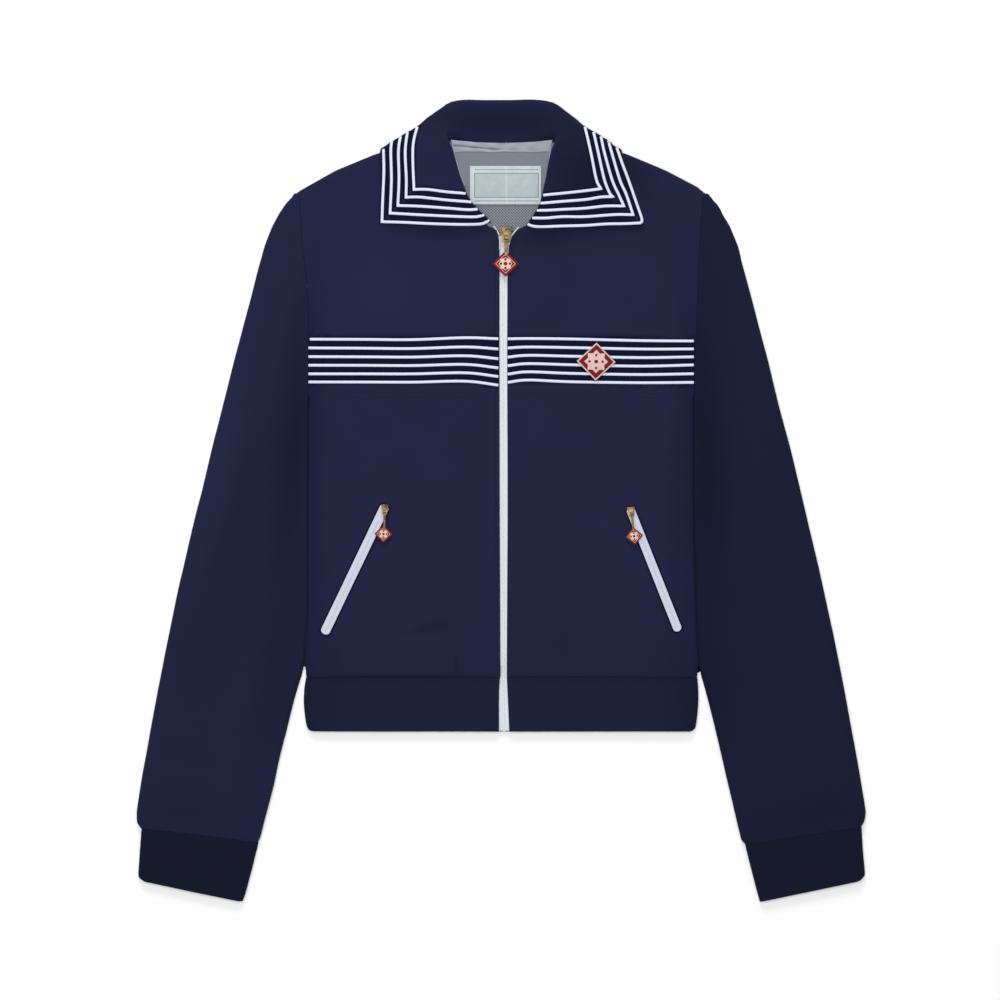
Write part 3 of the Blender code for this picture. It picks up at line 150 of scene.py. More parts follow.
UNDER_FOLDS: tuple[Fold, ...] = (
    Fold(R, (-150, 88), (-86, 38), 8, 0.9, 13, 4),
    Fold(R, (150, 80), (92, 24), 9, 0.8, 14, -4),
    Fold(R, (-60, 160), (-42, -20), 10, 0.7, 16, 5),
    Fold(R, (52, 130), (70, -90), 9, 0.8, 15, -5),
    Fold(R, (-120, -40), (-60, -118), 8, 0.7, 12, 3),
    Fold(R, (-250, 60), (-282, -110), 8, 0.8, 13, 3),
    Fold(R, (246, 66), (280, -120), 8, 0.8, 13, -3),
    Fold(R, (-296, -190), (-252, -230), 7, 0.7, 11, 2),
    Fold(R, (288, -170), (250, -222), 7, 0.7, 11, -2),
)
UPPER_SIDE, LOWER_SIDE = (3.4, 1.6), (2.6, -1.0)     # height at which a side's folds start, and their fade


def smooth_step(values: np.ndarray) -> np.ndarray:
    """A smooth step from 0 to 1."""
    held = np.clip(values, 0.0, 1.0)
    return held * held * (3.0 - 2.0 * held)


def relief(points: np.ndarray) -> np.ndarray:
    """How far the folds move points of the cloth up, points being rows of x, y and z."""
    x, y, z = points.T
    sides = ((TOP_FOLDS, UPPER_SIDE), (UNDER_FOLDS, LOWER_SIDE))
    return sum(smooth_step((z - start) / fade) * sum(fold.height(x, y) for fold in folds)
               for folds, (start, fade) in sides)


# ---------------------------------------------------------------- lie of the outline

# x and y round the jacket from the collar's back, and how far out its edge lies from the pattern
OUTLINE: tuple[Spot, ...] = (
    (-24.2, 374.9, 1.2), (10, 374.4, 1.3), (33.1, 374.3, 2), (40, 374, 2.7), (47, 372.5, 2.4),
    (53.8, 369.8, 0.8), (78.6, 350.9, 0), (107.2, 332.4, 0.2), (110.4, 324.1, 2.7), (152.5, 308.8, 1.8),
    (194.8, 286.7, 0.3), (203.3, 276.6, 0.3), (213.1, 257.8, 1), (222.7, 233.4, 0.8), (236.8, 176, 1.7),
    (251.8, 118.7, 1.6), (266.8, 61.3, 1.2), (280.7, 2.1, 1.7), (294.1, -57.1, 2.4), (307.5, -117.3, 2.3),
    (318, -173.7, 3.1), (328.9, -231, 2.9), (339.5, -288.3, 2), (336.8, -307.1, 2.1), (339.5, -352.3, 1.8),
    (336.8, -355.6, 1.8), (290.7, -365.4, 1.6), (244.5, -373.7, 1.9), (232, -324.1, 2.2),
    (226.9, -314.7, 1.6), (214.2, -260.1, 2.1), (201, -205.6, 1.4), (190.1, -172, 0.8), (186, -150, 0.6),
    (185.3, -150, 0.4), (183.6, -161, 0.6), (183, -166, 1.3), (182.8, -173.7, 2), (182.6, -200.9, 1.4),
    (180.3, -214.1, 1.6), (177.9, -215.9, 0.7), (121.5, -216, 0.6), (8.9, -215.8, 0.7), (-60.9, -216, 0.6),
    (-118.2, -216, 0.7), (-176.5, -216, 0.5), (-179.6, -214.1, 2.2), (-182.1, -200.9, 2.1),
    (-181.3, -176, 3.3), (-181, -166, 2.6), (-182.4, -160, 1.4), (-184.4, -150, 0.8), (-185.9, -150, 0.7),
    (-190.8, -167.1, 1.6), (-202.5, -200, 4), (-217.1, -263.9, 3.6), (-230.4, -327.8, 0.4),
    (-243.6, -373.7, 0.8), (-247, -374.7, 1.6), (-288.3, -366.2, 1.5), (-330.6, -357.8, 1),
    (-338.6, -354.1, 2.1), (-335.3, -310, 2.9), (-339.9, -300.6, 1.9), (-340, -288.3, 1.7),
    (-331.7, -233.8, 0.4), (-322.2, -179.3, 0.1), (-312.6, -123.8, -1.2), (-299.3, -66.5, -0.2),
    (-283.3, -8.2, 2), (-269.4, 49.1, 1.8), (-254.6, 107.4, 1.8), (-239.3, 164.7, 2.2), (-225, 223, 1.3),
    (-213.3, 255.9, 2), (-202.2, 276.6, 1), (-192.5, 287.1, 1.3), (-153.9, 306.9, 3), (-114.5, 324.1, 2.3),
    (-100.3, 337.7, 0.8), (-79.8, 349.5, 0.2), (-53.3, 369.4, 0.9), (-46, 372.8, 2.6), (-40, 374, 2.8),
    (-33, 374.3, 2),
)
OUTLINE_REACH = 14.0


def outline_shift(points: np.ndarray) -> np.ndarray:
    """How far points of the cloth move across and up with the jacket's outline.

    Args:
        points: rows of x, y and z, in millimetres.

    Returns:
        The move of each point in x and y, in millimetres.
    """
    rows = np.array(OUTLINE)
    runs = np.roll(rows, -1, axis=0)[:, :2] - rows[:, :2]
    lengths = np.hypot(*runs.T)
    lefts = np.stack((-runs[:, 1], runs[:, 0]), axis=1) / lengths[:, None]
    corners = lefts + np.roll(lefts, 1, axis=0)
    pushes = corners / np.hypot(*corners.T)[:, None] * rows[:, 2:]
    nearest = np.full(len(points), np.inf)
    shift = np.zeros((len(points), 2))
    for n, (run, length) in enumerate(zip(runs, lengths)):
        beside = points[:, :2] - rows[n, :2]
        along = np.clip(beside @ run / length ** 2, 0.0, 1.0)[:, None]
        away = np.hypot(*(beside - along * run).T)
        push = pushes[n] * (1.0 - along) + pushes[(n + 1) % len(rows)] * along
        closer = away < nearest
        nearest[closer] = away[closer]
        shift[closer] = push[closer]
    return shift * np.exp(-(nearest / OUTLINE_REACH) ** 2)[:, None]


# ---------------------------------------------------------------- painted light and shade on the knit

@dataclass(frozen=True)
class PaintedShadingArea:
    """A soft area of painted light and shade, where the knit's colour is made lighter or darker."""

    centre: Point
    reach: Point
    tone: float
    turn: float = 0.0

    def share(self, x: np.ndarray, y: np.ndarray) -> np.ndarray:
        """What the area multiplies the cloth's tone by at places across and up the jacket."""
        angle = math.radians(self.turn)
        right, up = x - self.centre[0], y - self.centre[1]
        across = (right * math.cos(angle) + up * math.sin(angle)) / self.reach[0]
        along = (up * math.cos(angle) - right * math.sin(angle)) / self.reach[1]
        return 1.0 + (self.tone - 1.0) * np.exp(-(across ** 2 + along ** 2))


# painted light and shade: areas where the knit's colour is scaled up where light falls and down where shade
# lies
PAINTED_SHADING_AREAS: tuple[PaintedShadingArea, ...] = (
    # chest, sides and hem of the body: painted light on the chest, painted shade elsewhere
    PaintedShadingArea((-118, 196), (62, 52), 1.10),
    PaintedShadingArea((-186, -10), (20, 150), 0.84),
    PaintedShadingArea((186, -10), (24, 150), 0.78),
    PaintedShadingArea((38, 248), (30, 7), 0.72),
    PaintedShadingArea((-62, 251), (44, 5), 0.80),
    PaintedShadingArea((70, -140), (90, 40), 0.94),
    PaintedShadingArea((-66, -119), (22, 5), 0.86, 12),
    PaintedShadingArea((-110, -165), (70, 2.2), 0.66, 0.6),
    PaintedShadingArea((70, -165.4), (120, 1.7), 0.74, -0.4),
    PaintedShadingArea((-182, -192), (34, 60), 0.80),
    PaintedShadingArea((184, -192), (34, 60), 0.78),
    # sleeve on the wearer's right: painted light on its outer side, painted shade beside the body and lower
    # down
    PaintedShadingArea((-268, 50), (24, 130), 1.14, -8),
    PaintedShadingArea((-196, 52), (17, 130), 0.66, -6),
    PaintedShadingArea((-214, -176), (20, 90), 0.84, -10),
    PaintedShadingArea((-278, -120), (34, 110), 0.88, -10),
    PaintedShadingArea((-240, 10), (24, 120), 0.88, -8),
    PaintedShadingArea((-290, -292), (60, 18), 0.86, -8),
    # sleeve on the wearer's left: painted shade beside the body and down its length
    PaintedShadingArea((194, 52), (18, 130), 0.80, 6),
    PaintedShadingArea((250, -60), (18, 90), 0.98, 8),
    PaintedShadingArea((330, -150), (18, 120), 0.90, 8),
    PaintedShadingArea((290, -292), (60, 18), 0.88, 8),
    # collar: painted shade on the stand and the leaf on the wearer's left, and painted light to lift the
    # shadow at the two back corners of the neck opening
    PaintedShadingArea((0, 356), (62, 17), 0.58),
    PaintedShadingArea((88, 306), (46, 44), 0.53),
    PaintedShadingArea((-48.5, 341), (3.6, 3.2), 1.5),
    PaintedShadingArea((49.5, 338.5), (3.6, 3.2), 1.4),
)


def painted_shading_tones(points: np.ndarray, base: float) -> np.ndarray:
    """The painted light and shade at points of the cloth, given as rows of x, y and z, as a factor on its
    colour.
    """
    tone = np.full(len(points), base)
    for nap in PAINTED_SHADING_AREAS:
        tone *= nap.share(points[:, 0], points[:, 1])
    return tone


# ---------------------------------------------------------------- rows of braid

BRAID_SHADE_STEP = 2.0            # millimetres between the marks of the painted shade beside the braid rows

CHEST_ROWS: dict[Side, tuple[tuple[float, tuple[float, ...]], ...]] = {
    # x, then y of each row from the top
    Side.RIGHT: (
        (-181.2, (151.8, 143.6, 135.4, 127.3, 119.2, 111.6)),
        (-130, (151.6, 143.3, 135.2, 127.2, 119.2, 111.5)),
        (-83, (151.4, 143, 135, 127, 119.2, 111.4)),
        (-34.1, (153.2, 144.5, 136.2, 128.1, 120.2, 112.3)),
        (-2.7, (152.2, 142.6, 133.4, 124.8, 116.7, 108.6)),
    ),
    Side.LEFT: (
        (5.9, (152.1, 143.5, 134.9, 126.8, 118.9, 111.2)),
        (25.1, (152.4, 144.4, 136.6, 128.8, 121.1, 113.4)),
        (64.6, (152, 143.9, 135.8, 127.8, 119.7, 111.8)),
        (130.4, (150.5, 142.6, 134.5, 126.5, 118.6, 110.9)),
        (181, (150.1, 142.6, 135.2, 127.6, 119.3, 111.2)),
    ),
}
COLLAR_ROWS: dict[Side, tuple[Path, ...]] = {
    # each row from the shoulder down the leaf, round its corner and along its front edge
    Side.RIGHT: (
        ((-110.6, 330.1), (-110.2, 309), (-111.3, 282.7), (-112, 262), (-91.4, 261.4), (-67, 260.2),
         (-40.7, 259.4), (-20.9, 259.6), (-14.3, 261.5), (-8, 265.8)),
        ((-102.7, 338.7), (-103.7, 327.8), (-103.1, 301.5), (-104.4, 270.1), (-78.3, 268.6), (-50.1, 267.2),
         (-29.4, 266.4), (-20.9, 266.9), (-13.8, 269.4)),
        ((-94.5, 343.4), (-96.5, 327.8), (-96, 301.5), (-97.1, 277.2), (-76.4, 276.5), (-50.1, 274.6),
         (-31.3, 273.1), (-21, 273.8)),
        ((-88, 347.6), (-90.1, 327.8), (-89.1, 301.5), (-89.4, 284.9), (-76.4, 285), (-50.1, 282.1),
         (-26.6, 280.3)),
        ((-78.6, 352.6), (-82.4, 336.3), (-83, 320.3), (-81.9, 292.2), (-68.9, 292.1), (-50.1, 289.7),
         (-29.4, 288)),
    ),
    Side.LEFT: (
        ((108.1, 332.9), (113, 318.4), (119.4, 301.5), (127.6, 278), (132.2, 264), (130.6, 260.9),
         (116.3, 260.2), (98.5, 259.9), (78.7, 258.5), (57.1, 257.9), (36.4, 257.2), (27, 258.6),
         (19.6, 263.6)),
        ((100.3, 339.3), (103.4, 327.8), (111.3, 301.5), (117.5, 287.4), (123.8, 268.6), (106.9, 268.7),
         (78.7, 266.7), (57.1, 266.6), (41.1, 265.3), (23.8, 265.6)),
        ((93.4, 343.4), (96.6, 327.8), (104, 301.5), (109.9, 288.3), (115.2, 276.8), (97.5, 276.7),
         (78.7, 274.6), (57.1, 273.4), (41.1, 272.5), (28.6, 272.8)),
        ((86.4, 347.6), (90.8, 327.8), (96.8, 301.5), (102.1, 288.3), (105, 285.5), (93.6, 285.1),
         (78.7, 282.7), (57.1, 280.9), (41.1, 279.5), (32.2, 279.3)),
        ((78.3, 352.5), (83.9, 327.8), (89.3, 301.5), (93.6, 292.9), (83.4, 291.5), (69.3, 289.8),
         (55.2, 288.3), (35.2, 286.3)),
    ),
}
NECK_EDGES: dict[Side, Path] = {
    Side.RIGHT: ((-46.2, 335.0), (-43.2, 323.1), (-38.2, 306.0), (-34.2, 296.0)),
    Side.LEFT: ((46.7, 333.5), (45.1, 320.7), (42.4, 303.0), (39.6, 291.0)),
}


def curve_through(points: Path, step: float) -> list[Point]:
    """Points about a step apart on a smooth curve through some points, its ends among them."""
    held = [np.array(point, dtype=float) for point in points]
    ends = [2.0 * held[0] - held[1], *held, 2.0 * held[-1] - held[-2]]
    run = [tuple(held[0])]
    for before, start, end, after in zip(ends, ends[1:], ends[2:], ends[3:]):
        count = max(1, round(float(np.linalg.norm(end - start)) / step))
        bend = 2.0 * before - 5.0 * start + 4.0 * end - after
        twist = 3.0 * start - before - 3.0 * end + after
        for t in (n / count for n in range(1, count + 1)):
            run.append(tuple(0.5 * (2.0 * start + (end - before) * t + bend * t ** 2 + twist * t ** 3)))
    return run


def mitred(points: Path, step: float) -> list[Point]:
    """A smooth run to the point where a path turns most, and another from it."""
    turns = []
    for before, here, after in zip(points, points[1:], points[2:]):
        turns.append((Vector(here) - Vector(before)).angle(Vector(after) - Vector(here)))
    corner = 1 + turns.index(max(turns))
    return curve_through(points[:corner + 1], step) + curve_through(points[corner:], step)[1:]


def chest_paths(side: Side, step: float) -> list[list[Point]]:
    """Each chest row's run, from the top."""
    across, heights = zip(*CHEST_ROWS[side])
    return [curve_through(list(zip(across, row)), step) for row in zip(*heights)]


def collar_paths(side: Side, step: float) -> list[list[Point]]:
    """Each collar row's run, from the leaf's outer edge."""
    return [mitred(row, step) for row in COLLAR_ROWS[side]]


def tree_of(spots: Sequence[Spot]) -> KDTree:
    """Spots gathered so that the nearest one is quickly found."""
    tree = KDTree(len(spots))
    for n, spot in enumerate(spots):
        tree.insert(spot, n)
    tree.balance()
    return tree


def braid_shade_share(points: np.ndarray, rows: Sequence[Sequence[Point]], core: float, fade: float) -> np.ndarray:
    """How far points of the cloth lie in the painted shade between and beside the rows of braid.

    Args:
        points: rows of x, y and z, in millimetres.
        rows: neighbouring rows' runs.
        core: distance from a row, or from midway between two, inside which the painted shade is full.
        fade: distance over which it ends.

    Returns:
        A share from 0 to 1 for each point.
    """
    flat = [[(*spot, 0.0) for spot in row] for row in rows]
    marks = [Vector(spot) for row in flat for spot in row]
    for outer, inner in zip(flat, flat[1:]):
        tree = tree_of(outer)
        marks += [(Vector(spot) + tree.find(spot)[0]) * 0.5 for spot in inner]
    tree = tree_of(marks)
    away = np.array([tree.find((x, y, 0.0))[2] for x, y, _ in points])
    return 1.0 - smooth_step((away - core) / fade)


# ---------------------------------------------------------------- node trees and shader maths

class Tree:
    """A node tree while it is written, of a material or of Geometry Nodes."""

    def __init__(self, tree: bpy.types.NodeTree) -> None:
        """Keep the tree."""
        self.tree = tree

    def feed(self, socket: bpy.types.NodeSocket, value: object) -> None:
        """Give a socket a link, a number, a vector or a colour."""
        if isinstance(value, Sum):
            value = value.socket
        if isinstance(value, bpy.types.NodeSocket):
            self.tree.links.new(value, socket)
        elif socket.type == "RGBA" and len(value) == 3:
            socket.default_value = (*value, 1.0)
        else:
            socket.default_value = value

    def node(self, kind: str, inputs: dict | None = None, **settings: object) -> bpy.types.Node:
        """Add a node.

        Args:
            kind: the node's type.
            inputs: values or links by socket name or number.
            settings: its own properties, set before its sockets.

        Returns:
            The node.
        """
        made = self.tree.nodes.new(kind)
        for key, value in settings.items():
            setattr(made, key, value)
        for key, value in (inputs or {}).items():
            self.feed(made.inputs[key], value)
        return made


def maths(operation: str, swapped: bool = False) -> Callable[..., "Sum"]:
    """A method that puts self and what it is given through a Math node, or the other way round."""
    def method(self: "Sum", *others: "Sum | float") -> "Sum":
        """The node's result."""
        values = (*others, self) if swapped else (self, *others)
        made = self.recipe.node("ShaderNodeMath", dict(enumerate(values)), operation=operation)
        return Sum(self.recipe, made.outputs[0])

    return method


class Sum:
    """A number on its way through a material, so that shader maths reads as arithmetic."""

    __add__, __radd__ = maths("ADD"), maths("ADD", swapped=True)
    __sub__, __rsub__ = maths("SUBTRACT"), maths("SUBTRACT", swapped=True)
    __mul__, __rmul__ = maths("MULTIPLY"), maths("MULTIPLY", swapped=True)
    __truediv__, __rtruediv__ = maths("DIVIDE"), maths("DIVIDE", swapped=True)
    __gt__, __lt__ = maths("GREATER_THAN"), maths("LESS_THAN")
    sine, size, part, power = maths("SINE"), maths("ABSOLUTE"), maths("FRACT"), maths("POWER")
    greater, smaller = maths("MAXIMUM"), maths("MINIMUM")

    def __init__(self, recipe: "Recipe", socket: bpy.types.NodeSocket) -> None:
        """Keep the recipe and the socket that the value comes from."""
        self.recipe = recipe
        self.socket = socket


class Recipe(Tree):
    """A material's node tree while it is written."""

    def __init__(self, name: str) -> None:
        """A new material with a Principled shader."""
        self.material = bpy.data.materials.new(name)
        self.material.use_nodes = True
        super().__init__(self.material.node_tree)
        self.shader = self.tree.nodes["Principled BSDF"]

    def place(self, turn: float = 0.0) -> tuple[Sum, Sum, Sum]:
        """Object coordinates in millimetres, turned by degrees about the upward axis."""
        source = self.node("ShaderNodeTexCoord").outputs["Object"]
        moved = self.node("ShaderNodeMapping", {
            "Vector": source, "Rotation": (0.0, 0.0, math.radians(turn)), "Scale": (MM, MM, MM)},
            vector_type="TEXTURE")
        split = self.node("ShaderNodeSeparateXYZ", {0: moved.outputs[0]})
        return tuple(Sum(self, split.outputs[n]) for n in range(3))

    def marked(self, name: str) -> Sum:
        """A number that the piece carries at its points."""
        return Sum(self, self.node("ShaderNodeAttribute", attribute_name=name).outputs["Fac"])

    def scaled(self, colour: object, factor: Sum) -> bpy.types.NodeSocket:
        """A colour made lighter or darker."""
        return self.node("ShaderNodeVectorMath", {0: colour, "Scale": factor}, operation="SCALE").outputs[0]

    def cells(self, scale: float, detail: float = 2.0, rough: float = 0.5) -> Sum:
        """Soft noise in object space, scale being its cells to a metre."""
        source = self.node("ShaderNodeTexCoord").outputs["Object"]
        noise = self.node("ShaderNodeTexNoise", {
            "Vector": source, "Scale": scale, "Detail": detail, "Roughness": rough})
        return Sum(self, noise.outputs[0])

    def blend(self, share: Sum, first: object, second: object) -> bpy.types.NodeSocket:
        """A colour between two, by a share from 0 to 1."""
        mixer = self.node("ShaderNodeMix", {}, data_type="RGBA", clamp_factor=True)
        for n, value in ((0, share), (6, first), (7, second)):
            self.feed(mixer.inputs[n], value)
        return mixer.outputs[2]

    def bump(self, height: Sum, distance: float, strength: float) -> None:
        """Raise the surface by a height from 0 to 1, distance being what 1 stands for in millimetres."""
        inputs = {"Height": height, "Distance": distance * MM, "Strength": strength}
        self.feed(self.shader.inputs["Normal"], self.node("ShaderNodeBump", inputs).outputs[0])

    def finish(self, **sockets: object) -> bpy.types.Material:
        """Set the shader's sockets by name, with underscores for spaces, and hand over the material."""
        for key, value in sockets.items():
            self.feed(self.shader.inputs[key.replace("_", " ")], value)
        return self.material


@dataclass(frozen=True)
class Finish:
    """A finish between two colours."""

    name: str
    colour: Colour
    shade: Colour


@dataclass(frozen=True)
class KnitFinish(Finish):
    """Plain jersey knit, its colour scaled by the piece's painted light and shade, and darkened by the
    painted shade beside the braid rows that the ground mark carries.
    """

    # painted shade: the darker navy laid between and beside the braid rows, where they shade the cloth
    ground: Colour = (0.0030, 0.0048, 0.0212)
    turn: float = 0.0
    wale: float = 1.15
    course: float = 0.85
    relief: float = 0.16

    def material(self) -> bpy.types.Material:
        """The knit's material, its stitches as small Vs in columns."""
        recipe = Recipe(self.name)
        x, y, _ = recipe.place(self.turn)
        from_middle = ((x / self.wale).part() - 0.5).size() * 2.0
        loop = ((y / self.course + from_middle * 0.55) * (2.0 * math.pi)).sine() * 0.5 + 0.5
        rib = 1.0 - (from_middle * 2.0 - 1.0).size().power(2.0)
        height = rib * (0.45 + loop * 0.55)
        cloud, fleck = recipe.cells(14.0, 3.0), recipe.cells(900.0)
        # colour varies at random with cloud and fleck, and the low parts of each loop are painted darker as
        # shade
        shade = (cloud - 0.5) * 0.45 + (fleck - 0.5) * 0.30 + height * 0.20 + 0.42
        # the piece's painted light and shade scale the knit's colour, then the painted shade beside the braid
        # rows darkens it
        knit = recipe.scaled(recipe.blend(shade, self.shade, self.colour), recipe.marked("nap"))
        colour = recipe.blend(recipe.marked("ground"), knit, self.ground)
        recipe.bump(height, self.relief, 0.5)
        return recipe.finish(Base_Color=colour, Roughness=0.9, Sheen_Weight=0.03, Sheen_Roughness=0.5,
                             Sheen_Tint=(0.45, 0.50, 1.0), Specular_IOR_Level=0.06)


@dataclass(frozen=True)
class MeshFinish(Finish):
    """Open mesh lining with small holes in slanting rows, which close up above a height."""

    pitch: float = 1.9
    open_to: float = 288.0
    closing: float = 16.0
    closed: float = 0.72

    def material(self) -> bpy.types.Material:
        """The lining's material."""
        recipe = Recipe(self.name)
        _, y, _ = recipe.place()
        slant, rise, _ = recipe.place(45.0)
        across, up = ((line / self.pitch).part() - 0.5 for line in (slant, rise))
        away = (across * across + up * up).power(0.5)
        yarn = ((away - 0.24) * 9.0).greater(0.0).smaller(1.0)
        close = ((y - self.open_to) / self.closing).greater(0.0).smaller(1.0)
        yarn = yarn * (1.0 - close * 0.8) + close * (0.8 * self.closed)
        fleck = recipe.cells(1200.0)
        colour = recipe.blend(yarn * (0.7 + fleck * 0.5), self.shade, self.colour)
        recipe.bump(yarn, 0.35, 0.7)
        return recipe.finish(Base_Color=colour, Roughness=0.8, Specular_IOR_Level=0.25)


class Yarns(Enum):
    """How the yarns of a trim lie: over and under, slanting both ways, or side by side."""

    WOVEN = "woven"
    PLAITED = "plaited"
    SATIN = "satin"


@dataclass(frozen=True)
class TrimFinish(Finish):
    """Braid, tape, thread or embroidery.

    cloud is the cells of its unevenness to a metre, mix the shares of the yarns' height, their low parts
    painted darker as shade, and of cloud in its colour, and bump the distance and strength of its relief.
    Where marked, the piece's painted light and shade scale its colour.
    """

    pitch: float = 0.55
    yarns: Yarns = Yarns.WOVEN
    turn: float = 0.0
    cloud: float = 160.0
    mix: Point = (0.4, 0.6)
    bump: Point = (0.08, 0.5)
    rough: float = 0.66
    sheen: float = 0.1
    shine: float = 0.35
    marked: bool = False

    def material(self) -> bpy.types.Material:
        """The trim's material."""
        recipe = Recipe(self.name)
        x, y, _ = recipe.place(self.turn)
        first, second = (x + y, x - y) if self.yarns is Yarns.PLAITED else (x, y)
        wave = (first * (2.0 * math.pi / self.pitch)).sine()
        if self.yarns is not Yarns.SATIN:
            wave = wave * (second * (2.0 * math.pi / self.pitch)).sine()
        height = wave * 0.5 + 0.5
        share = height * self.mix[0] + recipe.cells(self.cloud) * self.mix[1]
        colour = recipe.blend(share, self.shade, self.colour)
        # where marked, the piece's painted shadow and highlights scale the colour
        if self.marked:
            colour = recipe.scaled(colour, recipe.marked("nap"))
        recipe.bump(height, *self.bump)
        return recipe.finish(Base_Color=colour, Roughness=self.rough, Sheen_Weight=self.sheen,
                             Specular_IOR_Level=self.shine)


@dataclass(frozen=True)
class LabelFinish(Finish):
    """Satin label with woven border lines, its field bare."""

    line: Colour = (0.11, 0.135, 0.15)
    low: Point = (-25.1, 282.0)
    high: Point = (34.9, 311.2)
    second: float = 3.3
    half: float = 0.36
    pitch: float = 0.6
    crease_highlight_half: float = 0.7

    def material(self) -> bpy.types.Material:
        """The label's material."""
        recipe = Recipe(self.name)
        x, y, _ = recipe.place()
        waves = [(line * (2.0 * math.pi / self.pitch)).sine() for line in (x, y)]
        weave = waves[0] * waves[1] * 0.5 + 0.5
        cloud = recipe.cells(150.0)
        inside = (x > self.low[0]) * (x < self.high[0])
        levels = (self.low[1], self.low[1] + self.second, self.high[1] - self.second, self.high[1])
        across = inside * sum((y - level).size() < self.half for level in levels)
        between = (y > levels[1]) * (y < levels[2])
        upright = between * (((x - self.low[0]).size() < self.half) + ((x - self.high[0]).size() < self.half))
        # painted highlight along the label's middle fold, and the low yarns painted darker as shade
        crease = ((x - 0.5 * (self.low[0] + self.high[0])).size() < self.crease_highlight_half) * 0.35
        share = weave * 0.2 + cloud * 0.4 + crease + 0.45 - inside * between * 0.45
        plain = recipe.blend(share, self.shade, self.colour)
        colour = recipe.blend((across + upright) * 0.9, plain, self.line)
        recipe.bump(weave, 0.06, 0.5)
        return recipe.finish(Base_Color=colour, Roughness=0.6, Sheen_Weight=0.1, Specular_IOR_Level=0.3)


@dataclass(frozen=True)
class BrassFinish(Finish):
    """Cast and tumbled brass."""

    def material(self) -> bpy.types.Material:
        """The brass's material."""
        recipe = Recipe(self.name)
        cloud = recipe.cells(330.0, 4.0, 0.6)
        colour = recipe.blend((cloud - 0.5) * 2.6 + 0.5, self.shade, self.colour)
        recipe.bump(recipe.cells(1500.0), 0.10, 0.6)
        return recipe.finish(Base_Color=colour, Metallic=1.0, Roughness=0.34 + cloud * 0.26)


@dataclass(frozen=True)
class EnamelFinish(Finish):
    """Hard enamel, slightly uneven and satin."""

    def material(self) -> bpy.types.Material:
        """The enamel's material."""
        recipe = Recipe(self.name)
        cloud = recipe.cells(260.0, 3.0)
        colour = recipe.blend(cloud, self.shade, self.colour)
        recipe.bump(cloud, 0.04, 0.4)
        return recipe.finish(Base_Color=colour, Roughness=0.46 + cloud * 0.1, Specular_IOR_Level=0.06)


class Finishes:
    """Every finish of the jacket, made once and handed out by name."""

    def __init__(self) -> None:
        """Make the materials."""
        navy = ((0.0149, 0.0166, 0.0508), (0.0107, 0.0122, 0.0378))
        band = dict(course=1.0, wale=0.95)
        dull = dict(sheen=0.0, shine=0.05)
        satin = dict(pitch=0.45, yarns=Yarns.SATIN, cloud=220.0, mix=(0.45, 0.5), bump=(0.12, 0.6), rough=0.6,
                     sheen=0.0, shine=0.12)
        made = [
            KnitFinish("body_knit", *navy), KnitFinish("hem_knit", *navy, **band),
            *(KnitFinish("sleeve_knit_" + side.word, *navy, turn=9.0 * side.value) for side in Side),
            *(KnitFinish("cuff_knit_" + side.word, *navy, turn=8.0 * side.value, **band) for side in Side),
            TrimFinish("white_braid", (0.72, 0.74, 0.88), (0.54, 0.57, 0.72), 1.3, Yarns.PLAITED, cloud=700.0,
                       mix=(0.5, 0.6), bump=(0.14, 0.5), rough=0.72, sheen=0.15, shine=0.3),
            TrimFinish("zip_tape_weave", (0.70, 0.73, 0.79), (0.62, 0.65, 0.71)),
            TrimFinish("pocket_tape_weave", (0.58, 0.60, 0.70), (0.48, 0.50, 0.60)),
            TrimFinish("coil_nylon", (0.72, 0.75, 0.81), (0.66, 0.69, 0.75), 0.5),
            TrimFinish("tape_edge_weave", (0.66, 0.63, 0.62), (0.50, 0.46, 0.45)),
            # the neck tape's colour takes its painted shadow and highlights
            TrimFinish("neck_tape_weave", (0.300, 0.312, 0.352), (0.225, 0.238, 0.272), 1.1, marked=True),
            TrimFinish("selvedge_weave", (0.38, 0.38, 0.47), (0.28, 0.28, 0.36), 0.6),
            TrimFinish("label_thread", (0.55, 0.60, 0.61), (0.45, 0.50, 0.51), 0.4),
            TrimFinish("navy_thread", (0.0082, 0.0092, 0.0290), (0.0060, 0.0068, 0.0220), 0.4, **dull),
            # painted shadow: the dark strip round each pocket tape
            TrimFinish("painted_shadow_weave", (0.0040, 0.0052, 0.0190), (0.0028, 0.0036, 0.0130), 0.5, **dull),
            TrimFinish("red_embroidery", (0.185, 0.010, 0.016), (0.110, 0.005, 0.008), turn=45.0, **satin),
            TrimFinish("cream_embroidery", (0.76, 0.56, 0.50), (0.54, 0.36, 0.32), **satin),
            MeshFinish("mesh_lining", (0.210, 0.227, 0.268), (0.058, 0.066, 0.082)),
            LabelFinish("label_weave", (0.55, 0.61, 0.63), (0.29, 0.345, 0.365)),
            BrassFinish("brass_metal", (0.36, 0.25, 0.125), (0.085, 0.055, 0.022)),
            EnamelFinish("red_enamel", (0.225, 0.014, 0.012), (0.120, 0.008, 0.007)),
            EnamelFinish("cream_enamel", (0.76, 0.56, 0.46), (0.62, 0.42, 0.33)),
        ]
        self.made = {finish.name: finish.material() for finish in made}
        self.made["pale_floor"] = Recipe("pale_floor").finish(
            Base_Color=(0.93, 0.93, 0.93), Roughness=0.9, Specular_IOR_Level=0.0)

    def __getitem__(self, name: str) -> bpy.types.Material:
        """The material of a name."""
        return self.made[name]


# ---------------------------------------------------------------- making meshes

def verts_at(shape: bmesh.types.BMesh, spots: Sequence[Spot]) -> list[bmesh.types.BMVert]:
    """New points of a mesh at spots in millimetres."""
    return [shape.verts.new((x * MM, y * MM, z * MM)) for x, y, z in spots]


